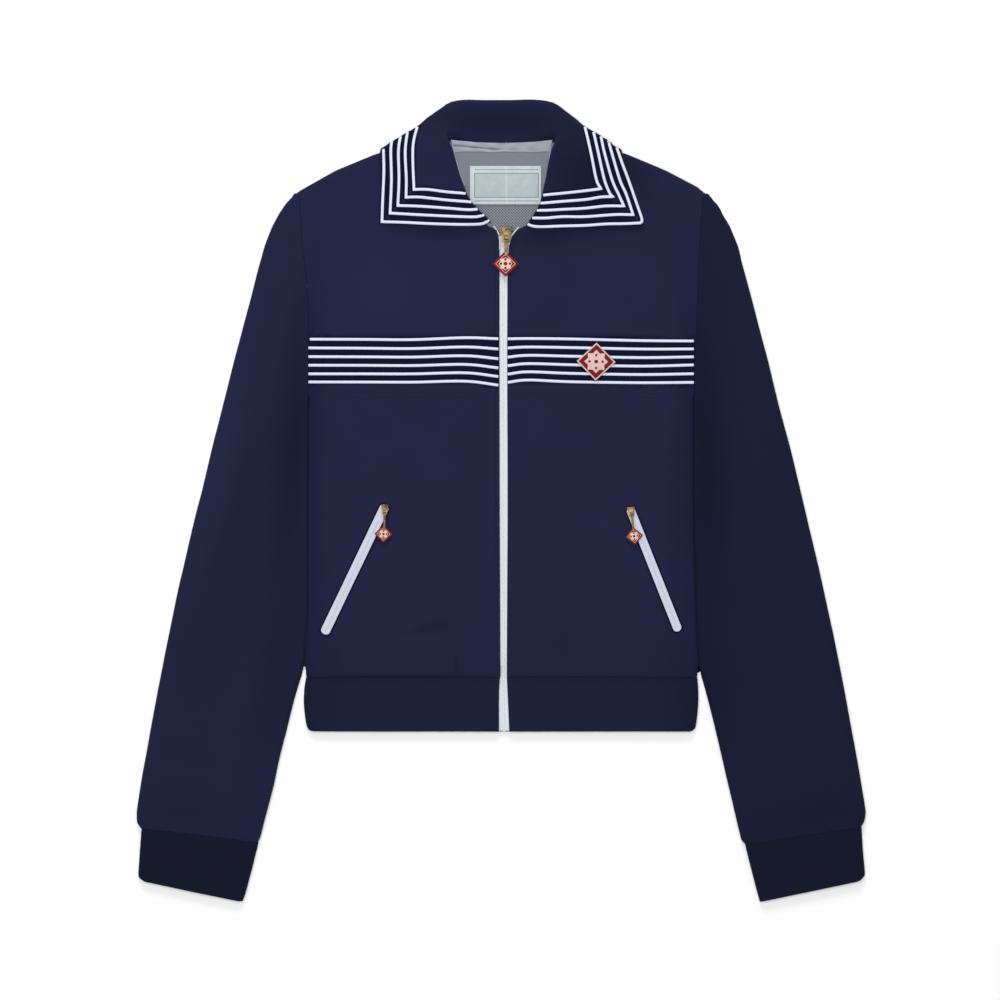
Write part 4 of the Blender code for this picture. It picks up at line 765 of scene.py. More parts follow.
def skin(shape: bmesh.types.BMesh, rows: Sequence[list[bmesh.types.BMVert]], closed: bool) -> None:
    """Faces between neighbouring rows of as many points, all round where the rows are closed."""
    for row, after in zip(rows, rows[1:]):
        count = len(row)
        for n in range(count if closed else count - 1):
            shape.faces.new((row[n], row[(n + 1) % count], after[(n + 1) % count], after[n]))


def from_shape(name: str, shape: bmesh.types.BMesh, material: bpy.types.Material) -> bpy.types.Object:
    """An object at the origin with one material, from a bmesh, which is freed."""
    mesh = bpy.data.meshes.new(name)
    shape.to_mesh(mesh)
    shape.free()
    mesh.materials.append(material)
    made = bpy.data.objects.new(name, mesh)
    bpy.context.scene.collection.objects.link(made)
    return made


def drawn(made: bpy.types.Object) -> bpy.types.Object:
    """An object as its modifiers draw it."""
    return made.evaluated_get(bpy.context.evaluated_depsgraph_get())


def applied(made: bpy.types.Object) -> bpy.types.Object:
    """Turn an object's modifiers into plain mesh."""
    mesh, old = bpy.data.meshes.new_from_object(drawn(made)), made.data
    made.modifiers.clear()
    made.data = mesh
    bpy.data.meshes.remove(old)
    mesh.name = made.name
    return made


def places(made: bpy.types.Object) -> np.ndarray:
    """A mesh's points, in millimetres."""
    points = np.empty(len(made.data.vertices) * 3)
    made.data.vertices.foreach_get("co", points)
    return points.reshape(-1, 3) / MM


def move_to(made: bpy.types.Object, points: np.ndarray) -> None:
    """Put a mesh's points somewhere else, in millimetres."""
    made.data.vertices.foreach_set("co", (points * MM).ravel())
    made.data.update()


def hold_outline(made: bpy.types.Object, above: float, rounds: int = 2) -> None:
    """Shift a subdivided piece's own points until its smooth surface passes through where they were.

    Args:
        made: a piece with a live Subdivision Surface.
        above: only points this far up the jacket are held, in millimetres.
        rounds: how often the points are corrected.
    """
    goal = places(made)
    held = (goal[:, 1] > above)[:, None]
    for _ in range(rounds):
        move_to(made, places(made) + held * (goal - places(drawn(made))[:len(goal)]))


def mark(made: bpy.types.Object, name: str, values: np.ndarray) -> None:
    """Give a mesh's points a number for its material."""
    layer = made.data.attributes.new(name, "FLOAT", "POINT")
    layer.data.foreach_set("value", values.astype(np.float32))


def bevelled(made: bpy.types.Object, edge: float, segments: int, above: float) -> None:
    """Add rounded edges, of a width in millimetres, where faces bend more than some degrees."""
    bevel = made.modifiers.new("Edges", "BEVEL")
    bevel.width = edge * MM
    bevel.segments = segments
    bevel.limit_method = "ANGLE"
    bevel.angle_limit = math.radians(above)


SHARP_ABOVE = 42.0           # degrees that an edge bends where the shading stays sharp
CUT_ABOVE = 50.0             # degrees that a cloth's cut edge bends


def rounded(made: bpy.types.Object, edge: float, segments: int = 3, above: float = 30.0) -> bpy.types.Object:
    """Round a piece's edges, as bevelled says, and shade it smooth."""
    bevelled(made, edge, segments, above)
    applied(made)
    made.data.shade_smooth()
    made.data.set_sharp_from_angle(angle=math.radians(SHARP_ABOVE))
    return made


def prism(name: str, outline: Path, low: float, high: float, edge: float,
          material: bpy.types.Material) -> bpy.types.Object:
    """A plate with an outline seen from above and rounded edges.

    Args:
        name: the piece's name.
        outline: its corners.
        low: height of its underside.
        high: height of its face.
        edge: how far its edges are rounded.
        material: its finish.

    Returns:
        The piece.
    """
    shape = bmesh.new()
    face = shape.faces.new(verts_at(shape, [(x, y, low) for x, y in outline]))
    grown = bmesh.ops.extrude_face_region(shape, geom=[face])
    bmesh.ops.translate(shape, vec=(0.0, 0.0, (high - low) * MM),
                        verts=[item for item in grown["geom"] if isinstance(item, bmesh.types.BMVert)])
    bmesh.ops.recalc_face_normals(shape, faces=shape.faces)
    return rounded(from_shape(name, shape, material), edge)


def rim(name: str, outline: Path, inner: Path, low: float, high: float, edge: float,
        material: bpy.types.Material) -> bpy.types.Object:
    """A flat ring, as prism makes a plate, between two outlines of as many corners."""
    shape = bmesh.new()
    rings = [verts_at(shape, [(x, y, z) for x, y in line])
             for line, z in ((outline, high), (inner, high), (inner, low), (outline, low))]
    skin(shape, [*rings, rings[0]], True)
    bmesh.ops.recalc_face_normals(shape, faces=shape.faces)
    return rounded(from_shape(name, shape, material), edge)


def cloth_of_rows(name: str, rows: Sequence[Sequence[Spot]], wall: float, edge: float,
                  material: bpy.types.Material) -> bpy.types.Object:
    """A thin closed sheet whose upper face passes through rows of points.

    Args:
        name: the piece's name.
        rows: rows of as many points each, in millimetres.
        wall: how thick the sheet is.
        edge: how far its cut edges are rounded.
        material: its finish.

    Returns:
        The piece.
    """
    shape = bmesh.new()
    skin(shape, [verts_at(shape, row) for row in rows], False)
    shape.normal_update()
    if sum(face.normal.z for face in shape.faces) < 0.0:
        bmesh.ops.reverse_faces(shape, faces=shape.faces)
    made = from_shape(name, shape, material)
    solid = made.modifiers.new("Wall", "SOLIDIFY")
    solid.thickness = wall * MM
    solid.offset = -1.0
    return rounded(made, edge, 2, CUT_ABOVE)


class Surface:
    """Finished pieces that something else is laid on."""

    SKY = 0.05               # metres up, over all the pieces

    def __init__(self, pieces: Sequence[bpy.types.Object]) -> None:
        """Gather the pieces' faces."""
        points, faces = [], []
        for made in pieces:
            start = len(points)
            points += [vertex.co.copy() for vertex in made.data.vertices]
            faces += [[start + n for n in face.vertices] for face in made.data.polygons]
        self.tree = BVHTree.FromPolygons(points, faces)

    def height(self, x: float, y: float) -> float | None:
        """Height of the uppermost face at a place, or None beside the pieces."""
        spot = self.tree.ray_cast(Vector((x * MM, y * MM, self.SKY)), Vector((0.0, 0.0, -1.0)))[0]
        return None if spot is None else spot.z / MM

    def over(self, path: Path, up: float) -> list[Spot]:
        """A path on the pieces, raised a little, without the points that lie beside them."""
        heights = [(x, y, self.height(x, y)) for x, y in path]
        return [(x, y, z + up) for x, y, z in heights if z is not None]


def acrosses(path: Path) -> list[Vector]:
    """At each point of a path, the mitred direction to its left."""
    spots = [Vector(spot) for spot in path]
    runs = [(after - before).normalized() for before, after in zip(spots, spots[1:])]
    found = []
    for before, after in zip([runs[0], *runs], [*runs, runs[-1]]):
        middle = (before + after).normalized()
        left = Vector((-middle.y, middle.x))
        found.append(left * min(1.5, 1.0 / max(0.2, middle.dot(after))))
    return found


def between(start: Point, end: Point, shares: Sequence[float]) -> list[Point]:
    """Points on a straight line, at shares of its length."""
    return [tuple(np.array(start) + (np.array(end) - np.array(start)) * t) for t in shares]


def on_top(surface: Surface, path: Path, drop: float = 2.2) -> list[tuple[Point, Vector]]:
    """The longest run of a path that stays on the cloth's upper face.

    Args:
        surface: the cloth.
        path: the path's points, close together.
        drop: the greatest step between two points, in millimetres; a greater one is an edge.

    Returns:
        Each kept point with the direction to its left.
    """
    runs: list[list[tuple[Point, Vector]]] = [[]]
    before = None
    for spot, across in zip(path, acrosses(path)):
        height = surface.height(*spot)
        if height is None or (before is not None and abs(height - before) > drop):
            runs.append([])
        if height is not None:
            runs[-1].append((spot, across))
        before = height
    return max(runs, key=len)


@dataclass(frozen=True)
class Strip:
    """A narrow strip with a rounded face, its sizes in millimetres.

    sink is how far its underside beds into the cloth, reach the greatest step in height under half of it.
    """

    width: float
    thick: float
    sink: float = 0.25
    reach: float = 1.6
    fall: float = 0.4

    # across from -1 to 1, and the share of the thickness there
    TOP = ((-1.0, 0.12), (-0.9, 0.60), (-0.55, 0.92), (0.0, 1.0), (0.55, 0.92), (0.9, 0.60), (1.0, 0.12))
    FOOT = (0.8, -0.8)

    def ring(self, surface: Surface, spot: Point, across: Vector) -> list[Spot]:
        """The strip's section at a point of its path."""
        (x, y), step = spot, across * self.width * 0.5
        middle = surface.height(x, y)
        beside = [surface.height(x + step.x * sign, y + step.y * sign) for sign in (1.0, -1.0)]
        first, last = (middle - self.fall if z is None or abs(z - middle) > self.reach else z for z in beside)
        lean, bend = 0.5 * (last - first), 0.5 * (first + last) - middle
        ups = [(u, share * self.thick) for u, share in self.TOP] + [(u, -self.sink) for u in self.FOOT]
        return [(x - step.x * u, y - step.y * u, middle + lean * u + bend * u * u + up) for u, up in ups]

    def laid(self, name: str, path: Path, surface: Surface, material: bpy.types.Material) -> bpy.types.Object:
        """The strip laid along the run of its middle on the cloth."""
        rings = [self.ring(surface, spot, across) for spot, across in on_top(surface, path)]
        heights = np.array([[spot[2] for spot in ring] for ring in rings])
        held = np.pad(heights, ((2, 2), (0, 0)), mode="edge")
        smooth = sum(held[n:n + len(rings)] for n in range(5)) / 5.0
        shape = bmesh.new()
        grid = [verts_at(shape, [(x, y, z) for (x, y, _), z in zip(ring, level)])
                for ring, level in zip(rings, smooth)]
        skin(shape, grid, True)
        shape.faces.new(grid[0])
        shape.faces.new(grid[-1][::-1])
        bmesh.ops.recalc_face_normals(shape, faces=shape.faces)
        made = from_shape(name, shape, material)
        made.data.shade_smooth()
        return made


class RowOfBeads(Tree):
    """Geometry Nodes that set one small rounded shape again and again along a path."""

    SIZES = ("Spacing", "Along", "Across", "Height", "Unevenness")

    def __init__(self, name: str, material: bpy.types.Material) -> None:
        """Write the tree of a name, for beads of a finish."""
        super().__init__(bpy.data.node_groups.new(name, "GeometryNodeTree"))
        self.material = material
        self.tree.is_modifier = True
        face = self.tree.interface
        face.new_socket("Path", in_out="INPUT", socket_type="NodeSocketGeometry")
        kinds = {**dict.fromkeys(self.SIZES, "NodeSocketFloat"), "Seed": "NodeSocketInt"}
        self.keys = {label: face.new_socket(label, in_out="INPUT", socket_type=kind).identifier
                     for label, kind in kinds.items()}
        face.new_socket("Row", in_out="OUTPUT", socket_type="NodeSocketGeometry")
        given = self.tree.nodes.new("NodeGroupInput").outputs
        curve = self.node("GeometryNodeMeshToCurve", {"Mesh": given["Path"]})
        spaced = self.node("GeometryNodeResampleCurve", {
            "Curve": curve.outputs[0], "Length": given["Spacing"]}, mode="LENGTH")
        tangent = self.node("GeometryNodeInputTangent")
        turned_to = self.node("FunctionNodeAlignRotationToVector", {"Vector": tangent.outputs[0]}, axis="X")
        bead = self.node("GeometryNodeMeshUVSphere", {"Segments": 8, "Rings": 5, "Radius": 0.5})
        sizes = self.node("ShaderNodeCombineXYZ", {
            "X": given["Along"], "Y": given["Across"], "Z": given["Height"]})
        shaped = self.node("GeometryNodeTransform", {"Geometry": bead.outputs[0], "Scale": sizes.outputs[0]})
        least = self.node("ShaderNodeMath", {0: 1.0, 1: given["Unevenness"]}, operation="SUBTRACT")
        uneven = self.node("FunctionNodeRandomValue", {}, data_type="FLOAT")
        for label, value in (("Min", least.outputs[0]), ("Max", 1.0), ("Seed", given["Seed"])):
            self.feed(self.shown(uneven.inputs, label), value)
        placed = self.node("GeometryNodeInstanceOnPoints", {
            "Points": spaced.outputs[0], "Instance": shaped.outputs[0], "Rotation": turned_to.outputs[0],
            "Scale": self.shown(uneven.outputs, "Value")})
        real = self.node("GeometryNodeRealizeInstances", {"Geometry": placed.outputs[0]})
        dressed = self.node("GeometryNodeSetMaterial", {"Geometry": real.outputs[0], "Material": material})
        self.feed(self.tree.nodes.new("NodeGroupOutput").inputs["Row"], dressed.outputs[0])

    @staticmethod
    def shown(sockets: Sequence[bpy.types.NodeSocket], name: str) -> bpy.types.NodeSocket:
        """The socket of that name that is in use."""
        return next(socket for socket in sockets if socket.name == name and socket.enabled)

    def along(self, name: str, runs: Sequence[Sequence[Spot]], sizes: dict[str, float],
              seed: int) -> bpy.types.Object:
        """Set beads along runs.

        Args:
            name: the piece's name.
            runs: each run's points, in millimetres.
            sizes: spacing, along, across and height in millimetres, and the unevenness as a share.
            seed: of the unevenness.

        Returns:
            The piece, as plain mesh.
        """
        shape = bmesh.new()
        for run in runs:
            verts = verts_at(shape, run)
            for pair in zip(verts, verts[1:]):
                shape.edges.new(pair)
        made = from_shape(name, shape, self.material)
        modifier = made.modifiers.new("Row", "NODES")
        modifier.node_group = self.tree
        for label in self.SIZES:
            modifier[self.keys[label]] = sizes[label] * (1.0 if label == "Unevenness" else MM)
        modifier[self.keys["Seed"]] = seed
        applied(made)
        made.data.shade_smooth()
        return made


STITCH = dict(Spacing=2.9, Along=2.1, Across=0.42, Height=0.34, Unevenness=0.12)
TOOTH = dict(Spacing=1.2, Along=1.5, Across=2.4, Height=0.5, Unevenness=0.03)
SMALL_TOOTH = dict(Spacing=1.2, Along=1.2, Across=2.2, Height=0.36, Unevenness=0.04)
LABEL_STITCH = dict(Spacing=2.2, Along=1.6, Across=0.3, Height=0.26, Unevenness=0.12)


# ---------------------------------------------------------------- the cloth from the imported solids

@dataclass(frozen=True)
class Ease:
    """A place where an edge of the cloth lies a little off its pattern."""

    centre: Point
    reach: Point
    shift: Point


NECK_EASES = (Ease((-46, 338), (13, 9), (-1.9, 2.8)), Ease((47, 338), (13, 9), (2.4, 1.6)))
COLLAR_EASES = NECK_EASES + (
    Ease((44, 259), (30, 8), (0, -3)), Ease((100, 259), (34, 8), (0, -1.8)),
    Ease((-70, 258), (50, 8), (0, -1)),
)
HEM_EASES = (Ease((-180.5, -216.6), (2.7, 2.7), (1.2, 1.1)), Ease((181.3, -216.6), (2.7, 2.7), (-1.2, 1.1)))
CUFF_EASES = (Ease((-312, -311), (34, 7), (0, 1.3)), Ease((-255, -318.5), (34, 7), (0, 1.3)),
              Ease((312, -310.5), (34, 7), (0, 1.3)), Ease((256, -319.5), (34, 7), (0, 1.3)),
              Ease((-339.5, -357.5), (4, 4), (1.5, 1.4)), Ease((340.8, -356.5), (4, 4), (-1.5, 1.4)))
FRONT_EASES = (Ease((-1, 254.5), (7, 6.5), (-2, 0.4)), Ease((9, 253), (7, 6), (2.4, 0.4)),
               Ease((-2, 40), (7, 220), (0.5, 0)))


@dataclass(frozen=True)
class Dress:
    """How one piece of cloth is drawn finer."""

    finish: str
    slot: str
    levels: int = 1
    edge: float = 0.35
    # the piece's overall painted shade, a factor on its colour
    tone: float = 1.0
    eases: tuple[Ease, ...] = ()
    held_above: float = -math.inf


class Workshop:
    """Makes pieces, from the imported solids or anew, and keeps them under their names."""

    DOUBLES = 0.02           # millimetres between points that are one
    FLAT = 1.0               # degrees that flat faces may bend

    def __init__(self, nodes: dict[str, bpy.types.Object]) -> None:
        """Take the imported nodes, and make the finishes."""
        self.nodes = nodes
        self.finishes = Finishes()
        self.made: dict[str, bpy.types.Object] = {}

    def keep(self, made: bpy.types.Object, slot: str, node: str = "",
             body: str = JACKET_BODY) -> bpy.types.Object:
        """Keep a piece, which rides on a body and may stand for a node. slot is not used."""
        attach(made, body)
        if node:
            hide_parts(node)
        self.made[made.name] = made
        return made

    def welded(self, node: str) -> bmesh.types.BMesh:
        """A node's mesh with its doubles merged, to be freed by the caller."""
        shape = bmesh.new()
        shape.from_mesh(self.nodes[node].data)
        bmesh.ops.remove_doubles(shape, verts=shape.verts, dist=self.DOUBLES * MM)
        bmesh.ops.dissolve_degenerate(shape, edges=shape.edges, dist=0.25 * self.DOUBLES * MM)
        return shape

    def shell(self, node: str, dress: Dress) -> bpy.types.Object:
        """A node's cloth, drawn finer, with rounded cut edges and its folds.

        Args:
            node: the node's name, which the piece replaces.
            dress: how it is drawn.

        Returns:
            The piece.
        """
        shape = self.welded(node)
        bmesh.ops.join_triangles(shape, faces=shape.faces, angle_face_threshold=math.radians(CUT_ABOVE),
                                 angle_shape_threshold=math.pi)
        bmesh.ops.subdivide_edges(shape, edges=shape.edges, cuts=1, use_grid_fill=True)
        layer = shape.edges.layers.float.new("crease_edge")
        for line in shape.edges:
            if len(line.link_faces) == 2 and line.calc_face_angle(0.0) > math.radians(CUT_ABOVE):
                line[layer] = 1.0
        made = from_shape(node + "_cloth", shape, self.finishes[dress.finish])
        finer = made.modifiers.new("Finer", "SUBSURF")
        finer.levels = finer.render_levels = dress.levels
        hold_outline(made, dress.held_above)
        bevelled(made, dress.edge, 2, CUT_ABOVE)
        applied(made)
        points = places(made)
        for ease in dress.eases:
            away = ((points[:, :2] - np.array(ease.centre)) / np.array(ease.reach)) ** 2
            points[:, :2] += np.exp(-away.sum(axis=1))[:, None] * np.array(ease.shift)
        points[:, :2] += outline_shift(points)
        points[:, 2] = np.maximum(points[:, 2] + relief(points), 0.0)
        move_to(made, points)
        # the piece carries its painted light and shade, a factor on its knit's colour
        mark(made, "nap", painted_shading_tones(points, dress.tone))
        made.data.shade_smooth()
        return self.keep(made, dress.slot, node)

    def polished(self, node: str, body: str, edge: float) -> bpy.types.Object:
        """A node's metal with its edges rounded, riding on a body."""
        shape = self.welded(node)
        bmesh.ops.dissolve_limit(shape, angle_limit=math.radians(self.FLAT), verts=shape.verts,
                                 edges=shape.edges)
        made = rounded(from_shape(node + "_metal", shape, self.finishes["brass_metal"]), edge, 3, 25.0)
        return self.keep(made, "brass", node, body)


# ---------------------------------------------------------------- sub-assemblies

@dataclass
class Assembly:
    """Pieces that are made together."""

    workshop: Workshop

    def cloth(self, name: str) -> bpy.types.Object:
        """A node's finished cloth."""
        return self.workshop.made[name + "_cloth"]


@dataclass
class BodyCloth(Assembly):
    """The back, the fronts and the waistband, the body's outline held down to a height."""

    braid_shade_core: float = 2.5
    braid_shade_fade: float = 1.4
    # painted shade: the hem band is darker
    hem_tone: float = 0.82
    rim: float = -157.0

    def build(self) -> None:
        """Make the body's cloth."""
        shell = self.workshop.shell
        shell("back", Dress("body_knit", "navy_knit", 2, held_above=self.rim))
        front = Dress("body_knit", "navy_knit", 2, eases=FRONT_EASES, held_above=self.rim)
        for side in Side:
            made = shell("front_" + side.word, front)
            rows = chest_paths(side, BRAID_SHADE_STEP)
            # painted shade between and beside the chest braid rows, carried by the ground mark
            mark(made, "ground", braid_shade_share(places(made), rows, self.braid_shade_core, self.braid_shade_fade))
        hem = Dress("hem_knit", "navy_band", 3, tone=self.hem_tone, eases=HEM_EASES, held_above=math.inf)
        for name in HEMS:
            shell(name, hem)


@dataclass
class SleeveCloth(Assembly):
    """The sleeves and their cuffs."""

    # painted shade: the sleeve on the wearer's left is darker, lying away from the light, and the cuffs
    # darker still
    sleeve_tones: tuple[float, float] = (0.99, 0.72)
    cuff_tone: float = 0.50

    def build(self) -> None:
        """Make the sleeves' cloth."""
        for side, tone in zip(Side, self.sleeve_tones):
            sleeve = Dress("sleeve_knit_" + side.word, "navy_knit", tone=tone)
            cuff = Dress("cuff_knit_" + side.word, "navy_band", 2, tone=self.cuff_tone, eases=CUFF_EASES)
            self.workshop.shell("sleeve_" + side.word, sleeve)
            self.workshop.shell("cuff_" + side.word, cuff)


@dataclass
class Collar(Assembly):
    """The fold-over collar, the painted shade beside its braid only on the leaf, above a height."""

    braid_shade_core: float = 2.4
    braid_shade_fade: float = 1.3
    leaf_from: float = 7.5

    def build(self) -> None:
        """Make the collar's cloth."""
        leaf = self.workshop.shell("collar", Dress("body_knit", "navy_knit", 1, 0.3, eases=COLLAR_EASES))
        points = places(leaf)
        shares = [braid_shade_share(points, collar_paths(side, BRAID_SHADE_STEP), self.braid_shade_core, self.braid_shade_fade)
                  for side in Side]
        # painted shade beside the collar braid rows, carried by the ground mark
        mark(leaf, "ground", np.maximum(*shares) * smooth_step(points[:, 2] - self.leaf_from))


@dataclass
class Neck(Assembly):
    """Lining, tape and label inside the neck, and the pale edges of the opening.

    The tape has a fold along it. fold is its place as a share of the tape's height, its fall to each
    millimetre across, where it ends and over what distance. shadow is its depth, half width and the tone of
    the shadow painted in it, and light the tone, distance and half width of the paler line below it, a
    painted highlight. head_light is the tone of the highlight painted on the tape's head, from which share
    and over what share.
    """

    tape_foot: float = 328.0
    tape_wall: float = 0.7
    tape_swell: float = 0.5
    tape_ripple: float = 0.12
    fold: tuple[float, float, float, float] = (0.56, 0.006, 14.0, 30.0)
    shadow: Spot = (0.9, 0.07, 0.52)
    light: Spot = (0.22, 0.20, 0.09)
    head_light: Spot = (0.5, 0.90, 0.06)
    tape_height: float = 6.3
    tape_ends: Point = (-47.3, 48.2)
    tape_head: Spot = (336.6, 2.6, 46.0)
    label_low: Point = (-28.4, 279.9)
    label_high: Point = (36.3, 313.6)

    def build(self) -> None:
        """Make the neck's pieces."""
        made, finishes = self.workshop, self.workshop.finishes
        lining = made.shell("neck_lining", Dress("mesh_lining", "lining_mesh", 3, 0.15, eases=NECK_EASES))
        made.shell("neck_label", Dress("label_weave", "label_white", 2, 0.12))
        made.keep(self.tape(), "label_white", "neck_tape")
        for side in Side:
            path = curve_through(NECK_EDGES[side], 2.0)
            made.keep(Strip(1.2, 1.5).laid("neck_edge_" + side.word, path, Surface([lining]),
                                           finishes["selvedge_weave"]), "label_white")
        (left, low), (right, high) = self.label_low, self.label_high
        corners = ((left, low), (right, low), (right, high), (left, high), (left, low))
        label = Surface([self.cloth("neck_label")])
        runs = [label.over(between(start, end, np.linspace(0.0, 1.0, 16)), 0.1)
                for start, end in zip(corners, corners[1:])]
        rows = RowOfBeads("label_stitch_row", finishes["label_thread"])
        made.keep(rows.along("label_stitches", runs, LABEL_STITCH, 5), "label_white")

    def tape(self) -> bpy.types.Object:
        """The pale tape over the back neck seam, folded over along its lower edge on one side."""
        rows, ripple = [], self.tape_ripple
        for x in np.linspace(*self.tape_ends, 64):
            foot, head = self.tape_reach(x)
            row = []
            for t in np.linspace(0.0, 1.0, 19):
                fold = -self.shadow[0] * float(self.tape_crease(np.array(x), np.array(t)))
                up = self.tape_height + self.tape_swell * math.sin(math.pi * t) + fold
                up += ripple * math.sin(x * 0.22 + 3.0 * t)
                row.append((x * (0.94 + 0.06 * t), foot + (head - foot) * t, up))
            rows.append(row)
        made = cloth_of_rows("neck_tape_cloth", rows, self.tape_wall, 0.1,
                             self.workshop.finishes["neck_tape_weave"])
        x, y, _ = places(made).T
        foot, head = self.tape_reach(x)
        t = (y - foot) / (head - foot)
        # painted shadow in the fold, a painted highlight in the paler line below it and on the tape's head,
        # and a wavy unevenness in tone
        (pale, below, half), (gain, start, over) = self.light, self.head_light
        tone = 1.0 - self.shadow[2] * self.tape_crease(x, t)
        tone += pale * np.exp(-((t - self.tape_fold(x) + below) / half) ** 2)
        tone += gain * smooth_step((t - start) / over) + ripple * np.sin(x * 0.35 + 2.0 * t) * np.sin(t * 5.0)
        mark(made, "nap", tone)
        return made

    def tape_reach(self, x: np.ndarray) -> tuple[np.ndarray, np.ndarray]:
        """The y of the tape's foot and head at a place across."""
        middle, rise, half = self.tape_head
        foot = self.tape_foot + 0.25 * np.sin(x * 0.16) + 0.2 * np.sin(x * 0.31 + 1.0)
        return foot, middle + rise * (np.abs(x) / half) ** 2

    def tape_fold(self, x: np.ndarray) -> np.ndarray:
        """How far up the tape its fold lies, as a share."""
        share, fall, _, _ = self.fold
        return share - fall * (x + self.tape_head[2])

    def tape_crease(self, x: np.ndarray, t: np.ndarray) -> np.ndarray:
        """How deep the fold is at a place across and a share up the tape, from 0 to 1."""
        _, _, until, fade = self.fold
        return smooth_step((until - x) / fade) * np.exp(-((t - self.tape_fold(x)) / self.shadow[1]) ** 2)


@dataclass
class Braids(Assembly):
    """The rows of narrow braid on the chest and the collar."""

    strip: Strip = Strip(2.65, 0.8)
    step: float = 1.3

    def build(self) -> None:
        """Lay the braids."""
        leaf = Surface([self.cloth("collar")])
        for side in Side:
            front = Surface([self.cloth("front_" + side.word)])
            self.rows("chest_braid_" + side.word, chest_paths(side, self.step), front)
            self.rows("collar_braid_" + side.word, collar_paths(side, self.step), leaf)

    def rows(self, name: str, paths: Sequence[Path], surface: Surface) -> None:
        """Lay one set of rows, each for the node of its number."""
        for n, path in enumerate(paths, 1):
            node = "%s_%d" % (name, n)
            braid = self.strip.laid(node + "_sewn", path, surface, self.workshop.finishes["white_braid"])
            self.workshop.keep(braid, "white_braid", node)


def turned(centre: Point, degrees: float, x: float, y: float) -> Point:
    """A place x and y from a centre, turned about it."""
    angle = math.radians(degrees)
    return (centre[0] + x * math.cos(angle) - y * math.sin(angle),
            centre[1] + x * math.sin(angle) + y * math.cos(angle))


@dataclass(frozen=True)
class SliderPlace:
    """Where a slider sits: the middle of its upper end, its turn in degrees, its scale and its top."""

    name: str
    middle: Point
    turn: float
    scale: float
    top: float

    # the shield's corners from the slider's upper end, and how its raised rim's inner line is drawn in
    SHIELD = ((-5.0, -0.8), (-2.6, -0.4), (0.0, -0.8), (2.6, -0.4), (5.0, -0.8), (4.9, -4.0), (3.9, -6.6),
              (2.4, -8.0), (-2.4, -8.0), (-3.9, -6.6), (-4.9, -4.0))
    DRAWN_IN = (0.84, 0.80)
    SHIELD_MIDDLE = 3.9
    SUNK, RISE, EDGE = 0.2, 0.8, 0.28            # of the rim, the last two at a scale of 1

    def crown(self, brass: bpy.types.Material) -> bpy.types.Object:
        """The raised rim on the slider's face."""
        (wide, long), middle = self.DRAWN_IN, self.SHIELD_MIDDLE
        inner = [(x * wide, (y + middle) * long - middle) for x, y in self.SHIELD]
        lines = [[turned(self.middle, self.turn, x * self.scale, y * self.scale) for x, y in line]
                 for line in (self.SHIELD, inner)]
        return rim(self.name + "_crown", *lines, self.top - self.SUNK, self.top + self.RISE * self.scale,
                   self.EDGE * self.scale, brass)


@dataclass(frozen=True)
class Diamond:
    """Where a diamond charm or patch lies, between which heights, and its motif's sizes.

    star gives the star's outer and inner reach, how deep it starts and how high it stands, seeds how far
    the small dots lie from the centre, their half width, their height and their rounding. All reaches are
    shares of the diamond's.
    """

    name: str
    centre: Point
    half: Point
    turn: float
    low: float
    high: float
    star: tuple[float, ...] = (0.52, 0.43, 0.4, 0.15)
    seeds: tuple[float, ...] = (0.34, 0.105, 0.3, 0.04)

    def spot(self, angle: float, share: float) -> Point:
        """A place at an angle from the centre, at a share of the reach."""
        return turned(self.centre, self.turn, self.half[0] * share * math.cos(math.radians(angle)),
                      self.half[1] * share * math.sin(math.radians(angle)))

    def points(self, count: int, outer: float, inner: float) -> list[Point]:
        """A star's corners, with outer and inner reaches as shares of the diamond's."""
        return [self.spot(n * 180.0 / count, inner if n % 2 else outer) for n in range(2 * count)]

    def diamond(self, share: float) -> list[Point]:
        """The diamond's corners at a share of its size."""
        return [self.spot(angle, share) for angle in QUARTERS]

    def motif(self, name: str, pale: bpy.types.Material, dark: bpy.types.Material,
              edge: float) -> list[bpy.types.Object]:
        """A generic eight-pointed star with five small dots, one at its centre and four about it.

        Args:
            name: the start of their names.
            pale: the star's finish.
            dark: the dots' finish.
            edge: how far the star's edges are rounded.

        Returns:
            The star, then the dots.
        """
        outer, inner, sunk, rise = self.star
        corners = self.points(8, outer, inner)
        made = [prism(name + "_star", corners, self.high - sunk, self.high + rise, edge, pale)]
        away, size, up, seed_edge = self.seeds
        for n, angle in enumerate((None, *QUARTERS)):
            middle = self.centre if angle is None else self.spot(angle, away)
            half = tuple(reach * size * (1.5 if angle is None else 1.0) for reach in self.half)
            dot = Diamond(name, middle, half, self.turn, self.low, self.high).points(4, 1.0, 0.92)
            made.append(prism("%s_seed_%d" % (name, n), dot, self.high, self.high + up, seed_edge, dark))
        return made


QUARTERS = (0.0, 90.0, 180.0, 270.0)

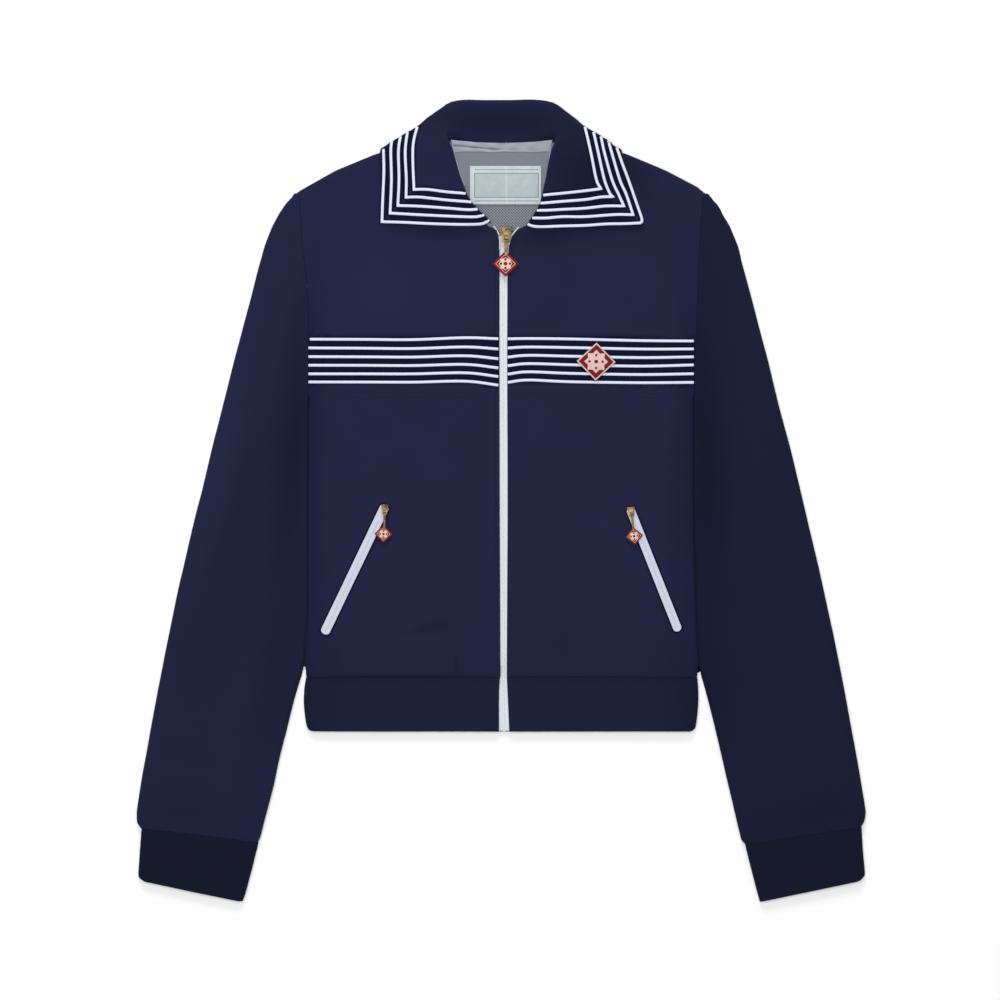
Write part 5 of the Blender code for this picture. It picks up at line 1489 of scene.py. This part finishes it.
ZIP_EDGES = (
    # y, then the x of the right and of the left front's edge
    (-216.4, -2.2, 7.6), (-190, -2.2, 6.4), (-169, -2.2, 5.4), (-164, -0.6, 5.2), (-150, -1.1, 5.2),
    (-60, -1.6, 5.2), (0, -1.9, 5.3), (130, -1.9, 5), (222, -1.9, 5.8), (236, -1.9, 6.6), (249, -1.9, 9.6),
)
FLARES: dict[Side, Path] = {
    # where each tape's edge parts from the other above the slider
    Side.RIGHT: ((-1.3, 236), (-1.3, 244), (-1.7, 249), (-3.9, 253.4), (-6.9, 258.5)),
    Side.LEFT: ((6.9, 240), (8, 244), (9.4, 248.6), (12.6, 252.8), (17, 257.8)),
}
SLIDERS = (
    SliderPlace("zip", (4.6, 257.0), 0.0, 1.0, 10.45),
    SliderPlace("pocket_right", (-109.2, -3.6), -2.0, 0.62, 11.2),
    SliderPlace("pocket_left", (121.5, -6.0), 7.0, 0.62, 11.0),
)
CHARMS = (
    Diamond("zip", (4.0, 222.6), (12.5, 12.1), 0.0, 8.4, 10.4),
    Diamond("pocket_right", (-110.6, -31.2), (8.5, 8.4), -2.0, 9.0, 10.5),
    Diamond("pocket_left", (124.8, -33.2), (8.5, 8.4), 7.0, 9.0, 10.6),
)
PATCH = Diamond("chest_patch", (89.1, 130.7), (18.3, 17.9), -1.5, 9.1, 10.3, (0.62, 0.46, 0.3, 0.35),
                (0.34, 0.07, 0.5, 0.06))
WELTS = {
    # head, foot and width of each pocket tape
    Side.RIGHT: ((-108.6, -4), (-166.6, -125.2), 8.6),
    Side.LEFT: ((120.6, -6.5), (166.6, -122.6), 7.8),
}


def zip_edge(y: float, side: Side) -> float:
    """The x of a front's edge at a height up the body."""
    levels, rights, lefts = zip(*ZIP_EDGES)
    return float(np.interp(y, levels, rights if side is Side.RIGHT else lefts))


def zip_middle(y: float) -> float:
    """The x midway between the fronts' edges."""
    return (zip_edge(y, Side.RIGHT) + zip_edge(y, Side.LEFT)) * 0.5


TAPE_LOW, TAPE_RISE = 3.9, 1.4       # height of the tapes' faces at the hem, and their rise above it
HEM_TOP, HEM_FADE = 164.0, 14.0      # how far down the hem's upper edge is, and over what they rise


def tape_top(y: float) -> float:
    """Height of the zip tapes' faces, lower between the bands of the hem."""
    return TAPE_LOW + TAPE_RISE * float(smooth_step(np.array((y + HEM_TOP) / HEM_FADE)))


@dataclass
class FrontZip(Assembly):
    """Tapes and coil of the front zip.

    under is how far a tape goes under the front's edge, gap half the space between the tapes, coil_up how
    far the coil's middle lies over them, and window how many points of a flare are levelled together.
    """

    under: float = 3.0
    gap: float = 0.7
    wall: float = 0.9
    coil_up: float = 0.3
    flare_half: float = 0.62
    flare_thick: float = 0.7
    window: int = 7

    def build(self) -> None:
        """Make the zip's tapes and coil."""
        made, finishes = self.workshop, self.workshop.finishes
        levels = [float(y) for y in np.linspace(ZIP_EDGES[0][0], ZIP_EDGES[-1][0], 70)]
        tapes = [made.keep(self.tape(side, levels), "white_braid", "zip_tape_" + side.word) for side in Side]
        coil = [(zip_middle(y), y, tape_top(y) + self.coil_up) for y in levels]
        teeth = RowOfBeads("coil_row", finishes["coil_nylon"]).along("zip_teeth", [coil], TOOTH, 3)
        made.keep(teeth, "white_braid", "zip_coil")
        under = [self.cloth(name) for name in ("front_right", "front_left", "neck_lining")]
        surface = Surface([*under, *tapes, teeth])
        for side in Side:
            made.keep(self.flare(side, surface), "white_braid")

    def flare(self, side: Side, surface: Surface) -> bpy.types.Object:
        """One tape's edge where it turns out above the slider, lying over the front's cut edge."""
        path = curve_through(FLARES[side], 1.0)
        stations = [(Vector(spot), across * self.flare_half) for spot, across in zip(path, acrosses(path))]
        under = []
        for spot, step in stations:
            heights = [surface.height(*(spot + step * u)) for u in (-1.0, 0.0, 1.0)]
            under.append(max(z for z in heights if z is not None))
        held = np.pad(np.array(under), self.window // 2, mode="edge")
        near = [held[n:n + self.window] for n in range(len(under))]
        rows = [[(*(spot + step * u), 0.5 * (max(levels) + float(np.mean(levels))) + self.flare_thick)
                 for u in (-1.0, -0.4, 0.4, 1.0)] for (spot, step), levels in zip(stations, near)]
        return cloth_of_rows("zip_flare_" + side.word, rows, self.flare_thick, 0.2,
                             self.workshop.finishes["tape_edge_weave"])

    def tape(self, side: Side, levels: Sequence[float]) -> bpy.types.Object:
        """One tape, from under the front's edge to the coil."""
        rows = []
        for y in levels:
            outer, inner = zip_edge(y, side) + side.value * self.under, zip_middle(y) + side.value * self.gap
            top, wave = tape_top(y), 0.12 * math.sin(y * 0.05 + side.value)
            rows.append([(outer + (inner - outer) * t, y, top + wave * t) for t in np.linspace(0.0, 1.0, 6)])
        return cloth_of_rows("zip_tape_%s_cloth" % side.word, rows, self.wall, 0.15,
                             self.workshop.finishes["zip_tape_weave"])


@dataclass
class PocketZips(Assembly):
    """The pale tapes and coils of the slanting pockets, each with a dark strip round it as painted shadow
    along its edges.
    """

    rounding: float = 3.4
    face_up: float = 1.4
    wall: float = 0.9
    lip_out: float = 1.3
    lip_up: float = 0.6
    coil_run: Point = (0.13, 0.97)

    ROUND_END = (0.02, 0.3, 0.8, 1.6, 2.5)       # how far from its tip a round end's rows lie

    def strip(self, name: str, side: Side, out: float, up: float, finish: str) -> bpy.types.Object:
        """A strip with round ends along a pocket, on the front's own heights.

        Args:
            name: its name.
            side: the pocket's side.
            out: how far it reaches past the tape's edge.
            up: height of its face over the front.
            finish: the name of its finish.

        Returns:
            The strip.
        """
        head, foot, wide = WELTS[side]
        front = Surface([self.cloth("front_" + side.word)])
        ahead = (Vector(foot) - Vector(head)).normalized() * out
        start, run = Vector(head) - ahead, Vector(foot) - Vector(head) + 2.0 * ahead
        across = Vector((-run.y, run.x)).normalized()
        away = sorted({*self.ROUND_END, *np.linspace(self.rounding, 0.5 * run.length, 18)})
        rows = []
        for distance in (*away, *(run.length - near for near in reversed(away[:-1]))):
            near = min(1.0, min(distance, run.length - distance) / self.rounding)
            half = (0.5 * wide + out) * math.sqrt(1.0 - (1.0 - near) ** 2) + 0.05
            spot = start + run.normalized() * distance
            row = [spot + across * half * u for u in (-1.0, -0.5, 0.0, 0.5, 1.0)]
            rows.append([(*place, front.height(*place) + up) for place in row])
        return cloth_of_rows(name, rows, min(up, self.wall), 0.15, self.workshop.finishes[finish])

    def build(self) -> None:
        """Make the pockets' tapes."""
        made = self.workshop
        for side in Side:
            node = "pocket_tape_" + side.word
            welt = self.strip(node + "_cloth", side, 0.0, self.face_up, "pocket_tape_weave")
            made.keep(welt, "white_braid", node)
            # painted shadow: a dark navy strip a little wider than the tape, standing in for the shadow along
            # its edges
            shadow_strip = self.strip("pocket_lip_" + side.word, side, self.lip_out, self.lip_up, "painted_shadow_weave")
            made.keep(shadow_strip, "navy_knit")
            head, foot, _ = WELTS[side]
            run = Surface([welt]).over(between(head, foot, np.linspace(*self.coil_run, 40)), 0.05)
            row = RowOfBeads("pocket_coil_row_" + side.word, made.finishes["pocket_tape_weave"])
            made.keep(row.along("pocket_teeth_" + side.word, [run], SMALL_TOOTH, 4), "white_braid")


@dataclass
class Metalwork(Assembly):
    """Sliders, pulls and their diamond charms.

    sunk is how far the charm's plate lies under the cream line, line the line's outer and inner share of
    the charm and line_deep how deep it starts.
    """

    slider_edge: float = 0.35
    pull_edge: float = 0.245
    plate_edge: float = 0.22
    sunk: float = 0.15
    line: Point = (0.76, 0.71)
    line_deep: float = 0.4
    line_edge: float = 0.04
    star_edge: float = 0.06

    def build(self) -> None:
        """Make the metal and the enamel."""
        made = self.workshop
        for slider, charm in zip(SLIDERS, CHARMS):
            body = "zip_pull" if slider.name == "zip" else slider.name.replace("pocket", "pocket_pull")
            made.polished(slider.name + "_slider", JACKET_BODY, self.slider_edge * slider.scale)
            made.polished(slider.name + "_pull", body, self.pull_edge * slider.scale)
            made.keep(slider.crown(made.finishes["brass_metal"]), "brass")
            self.charm(charm, body)

    def charm(self, place: Diamond, body: str) -> None:
        """An enamel diamond with a cream line and a cream star."""
        red, cream = self.workshop.finishes["red_enamel"], self.workshop.finishes["cream_enamel"]
        name, high = place.name + "_charm", place.high
        plate = prism(name + "_plate", place.diamond(1.0), place.low, high - self.sunk, self.plate_edge, red)
        edges = [place.diamond(share) for share in self.line]
        line = rim(name + "_line", *edges, high - self.line_deep, high, self.line_edge, cream)
        self.workshop.keep(plate, "enamel_red", name, body)
        for made in (line, *place.motif(name, cream, red, self.star_edge)):
            self.workshop.keep(made, "enamel_red", body=body)


@dataclass
class ChestPatch(Assembly):
    """The embroidered diamond on the chest: a generic eight-pointed star on red, with a cream edge."""

    edge_sunk: float = 0.1
    edge_round: float = 0.3
    field: float = 0.90
    field_up: float = 0.2
    field_round: float = 0.1
    star_round: float = 0.15

    def build(self) -> None:
        """Make the patch."""
        red, cream = self.workshop.finishes["red_embroidery"], self.workshop.finishes["cream_embroidery"]
        edge = prism("chest_patch_edge", PATCH.diamond(1.0), PATCH.low, PATCH.high - self.edge_sunk,
                     self.edge_round, cream)
        ground = prism("chest_patch_field", PATCH.diamond(self.field), PATCH.low + self.field_up, PATCH.high,
                       self.field_round, red)
        self.workshop.keep(edge, "enamel_red", "chest_patch")
        for made in (ground, *PATCH.motif("chest_patch", cream, red, self.star_round)):
            self.workshop.keep(made, "enamel_red")


@dataclass
class Stitches(Assembly):
    """Rows of navy stitches beside the zips, the hem and the cuffs."""

    beside_zip: float = 3.4
    beside_pocket: float = 1.7
    hem_row: float = -168.9

    def build(self) -> None:
        """Sew the rows."""
        cloth = [self.cloth(name) for name in SEWN_CLOTH]
        surface = Surface(cloth)
        rows = RowOfBeads("navy_stitch_row", self.workshop.finishes["navy_thread"])
        for n, (name, lines) in enumerate(self.lines().items()):
            runs = [surface.over(curve_through(line, 3.0), 0.02) for line in lines]
            self.workshop.keep(rows.along(name, runs, STITCH, 20 + n), "navy_knit")

    def lines(self) -> dict[str, list[Path]]:
        """Each row's name and its lines."""
        ups = np.linspace(-160.0, 243.0, 12)
        zips = [[(zip_edge(y, side) + side.value * self.beside_zip, y) for y in ups] for side in Side]
        hem = [[(x, self.hem_row) for x in row] for row in ((-179.0, -90.0, -5.0), (9.0, 90.0, 181.0))]
        pockets = []
        for head, foot, wide in WELTS.values():
            start, end = np.array(head), np.array(foot)
            along = (end - start) / np.linalg.norm(end - start)
            across = np.array((-along[1], along[0])) * (wide * 0.5 + self.beside_pocket)
            pockets += [[tuple(start + step), tuple(end + step)] for step in (across, -across)]
        return dict(zip_stitches=zips, hem_stitches=hem, cuff_stitches=CUFF_ROWS, pocket_stitches=pockets)


HEMS = ("hem_back", "hem_front_right", "hem_front_left")
SEWN_CLOTH = ("back", "front_right", "front_left", *HEMS, "sleeve_right", "cuff_right", "sleeve_left",
              "cuff_left")
CUFF_ROWS = [[(-333.4, -313.4), (-283.0, -321.0), (-232.6, -327.6)],
             [(334.6, -312.6), (285.0, -321.0), (235.0, -328.6)]]


@dataclass(frozen=True)
class Cut:
    """The flat pattern that a sheet was cut to, and how it is held.

    width, length and area are in metres and square metres, all round on a tube. on holds the names of
    what it lies on, and goes the starts of the names of the pieces sewn to it.
    """

    width: float
    length: float
    area: float
    held: str = "laid"
    on: tuple[str, ...] = ()
    goes: tuple[str, ...] = ()

    def declare(self, made: bpy.types.Object, others: Sequence[bpy.types.Object]) -> None:
        """Take no step: neither the piece nor the others are used."""


BACK, FRONT_RIGHT, FRONT_LEFT = ("back_cloth",), ("front_right_cloth",), ("front_left_cloth",)
HEM, LINING = ("hem_back_cloth",), ("neck_lining_cloth",)
CUTS: dict[str, Cut] = {
    "back_cloth": Cut(0.384, 0.545, 0.196),
    "front_right_cloth": Cut(0.195, 0.505, 0.088, on=BACK, goes=("chest_braid_right",)),
    "front_left_cloth": Cut(0.195, 0.505, 0.085, on=BACK, goes=("chest_braid_left", "zip_stitches",
                                                               "pocket_stitches")),
    "hem_back_cloth": Cut(0.374, 0.060, 0.022, "folded"),
    "hem_front_right_cloth": Cut(0.184, 0.056, 0.0101, "folded", HEM, ("hem_stitches",)),
    "hem_front_left_cloth": Cut(0.184, 0.056, 0.0101, "folded", HEM),
    "sleeve_right_cloth": Cut(0.260, 0.620, 0.118),
    "sleeve_left_cloth": Cut(0.260, 0.620, 0.117),
    "cuff_right_cloth": Cut(0.212, 0.058, 0.0117, "folded", goes=("cuff_stitches",)),
    "cuff_left_cloth": Cut(0.212, 0.058, 0.0112, "folded"),
    "collar_cloth": Cut(0.460, 0.115, 0.030, "folded", FRONT_RIGHT + FRONT_LEFT, ("collar_braid",)),
    "neck_lining_cloth": Cut(0.096, 0.087, 0.0067, on=BACK, goes=("neck_edge",)),
    "neck_label_cloth": Cut(0.067, 0.038, 0.0025, on=LINING, goes=("label_stitches",)),
    "neck_tape_cloth": Cut(0.094, 0.0115, 0.0010, on=LINING),
    "zip_tape_right_cloth": Cut(0.010, 0.466, 0.0030, on=BACK, goes=("zip_flare_right", "zip_teeth")),
    "zip_tape_left_cloth": Cut(0.010, 0.466, 0.0030, on=BACK, goes=("zip_flare_left",)),
    "pocket_tape_right_cloth": Cut(0.010, 0.133, 0.0012, on=FRONT_RIGHT, goes=("pocket_teeth_right",
                                                                              "pocket_lip_right")),
    "pocket_tape_left_cloth": Cut(0.010, 0.125, 0.0010, on=FRONT_LEFT, goes=("pocket_teeth_left",
                                                                            "pocket_lip_left")),
    "chest_patch_edge": Cut(0.026, 0.0254, 0.00065, on=FRONT_LEFT, goes=("chest_patch_field",
                                                                        "chest_patch_s")),
}


@dataclass(frozen=True)
class Studio:
    """Floor, lights and camera. Each light has its place, its side in metres and its power."""

    lens: float = 120.0
    sensor: float = 36.0
    middle: Spot = (-1.175, 0.705, 7.0)
    sky: float = 0.36
    lights: tuple[tuple[str, Spot, float, float], ...] = (
        ("soft_box", (-0.25, 0.1, 3.2), 1.7, 70.0),
        ("low_light", (-0.2, 2.6, 1.6), 1.2, 40.0),
    )

    def build(self, floor: bpy.types.Material) -> None:
        """Lay the floor just below the jacket, and set lights, sky and a camera straight above."""
        scene = bpy.context.scene
        shape = bmesh.new()
        bmesh.ops.create_grid(shape, x_segments=1, y_segments=1, size=8.0)
        made = from_shape("floor", shape, floor)
        made.location.z = -0.2 * MM
        for name, place, size, power in self.lights:
            data = bpy.data.lights.new(name, "AREA")
            data.size = size
            data.energy = power
            lamp = bpy.data.objects.new(name, data)
            scene.collection.objects.link(lamp)
            lamp.location = place
            lamp.rotation_euler = (-Vector(place)).to_track_quat("-Z", "Y").to_euler()
        scene.world = bpy.data.worlds.new("studio")
        scene.world.use_nodes = True
        sky = scene.world.node_tree.nodes["Background"]
        sky.inputs["Color"].default_value = (1.0, 1.0, 1.0, 1.0)
        sky.inputs["Strength"].default_value = self.sky
        data = bpy.data.cameras.new("camera")
        data.lens = self.lens
        data.sensor_width = self.sensor
        camera = bpy.data.objects.new("camera", data)
        scene.collection.objects.link(camera)
        x, y, z = self.middle
        camera.location = (x * MM, y * MM, (VIEW_SPAN * self.lens / self.sensor + z) * MM)
        scene.camera = camera
        scene.view_settings.view_transform = "Standard"


# in the order that they are made, since the later ones lie on the earlier
ASSEMBLIES = (BodyCloth, SleeveCloth, Collar, Neck, Braids, FrontZip, PocketZips, Metalwork, ChestPatch,
              Stitches)


def main() -> None:
    """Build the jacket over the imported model."""
    logging.basicConfig(level=logging.INFO, format="%(name)s: %(message)s")
    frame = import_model()
    workshop = Workshop(frame["nodes"])
    Studio().build(workshop.finishes["pale_floor"])
    for kind in ASSEMBLIES:
        kind(workshop).build()
    for name, made in workshop.made.items():
        LOG.info("%s: %d faces", name, len(made.data.polygons))
    for name, cut in CUTS.items():
        cut.declare(workshop.made[name], list(workshop.made.values()))


if __name__ == "__main__":
    main()
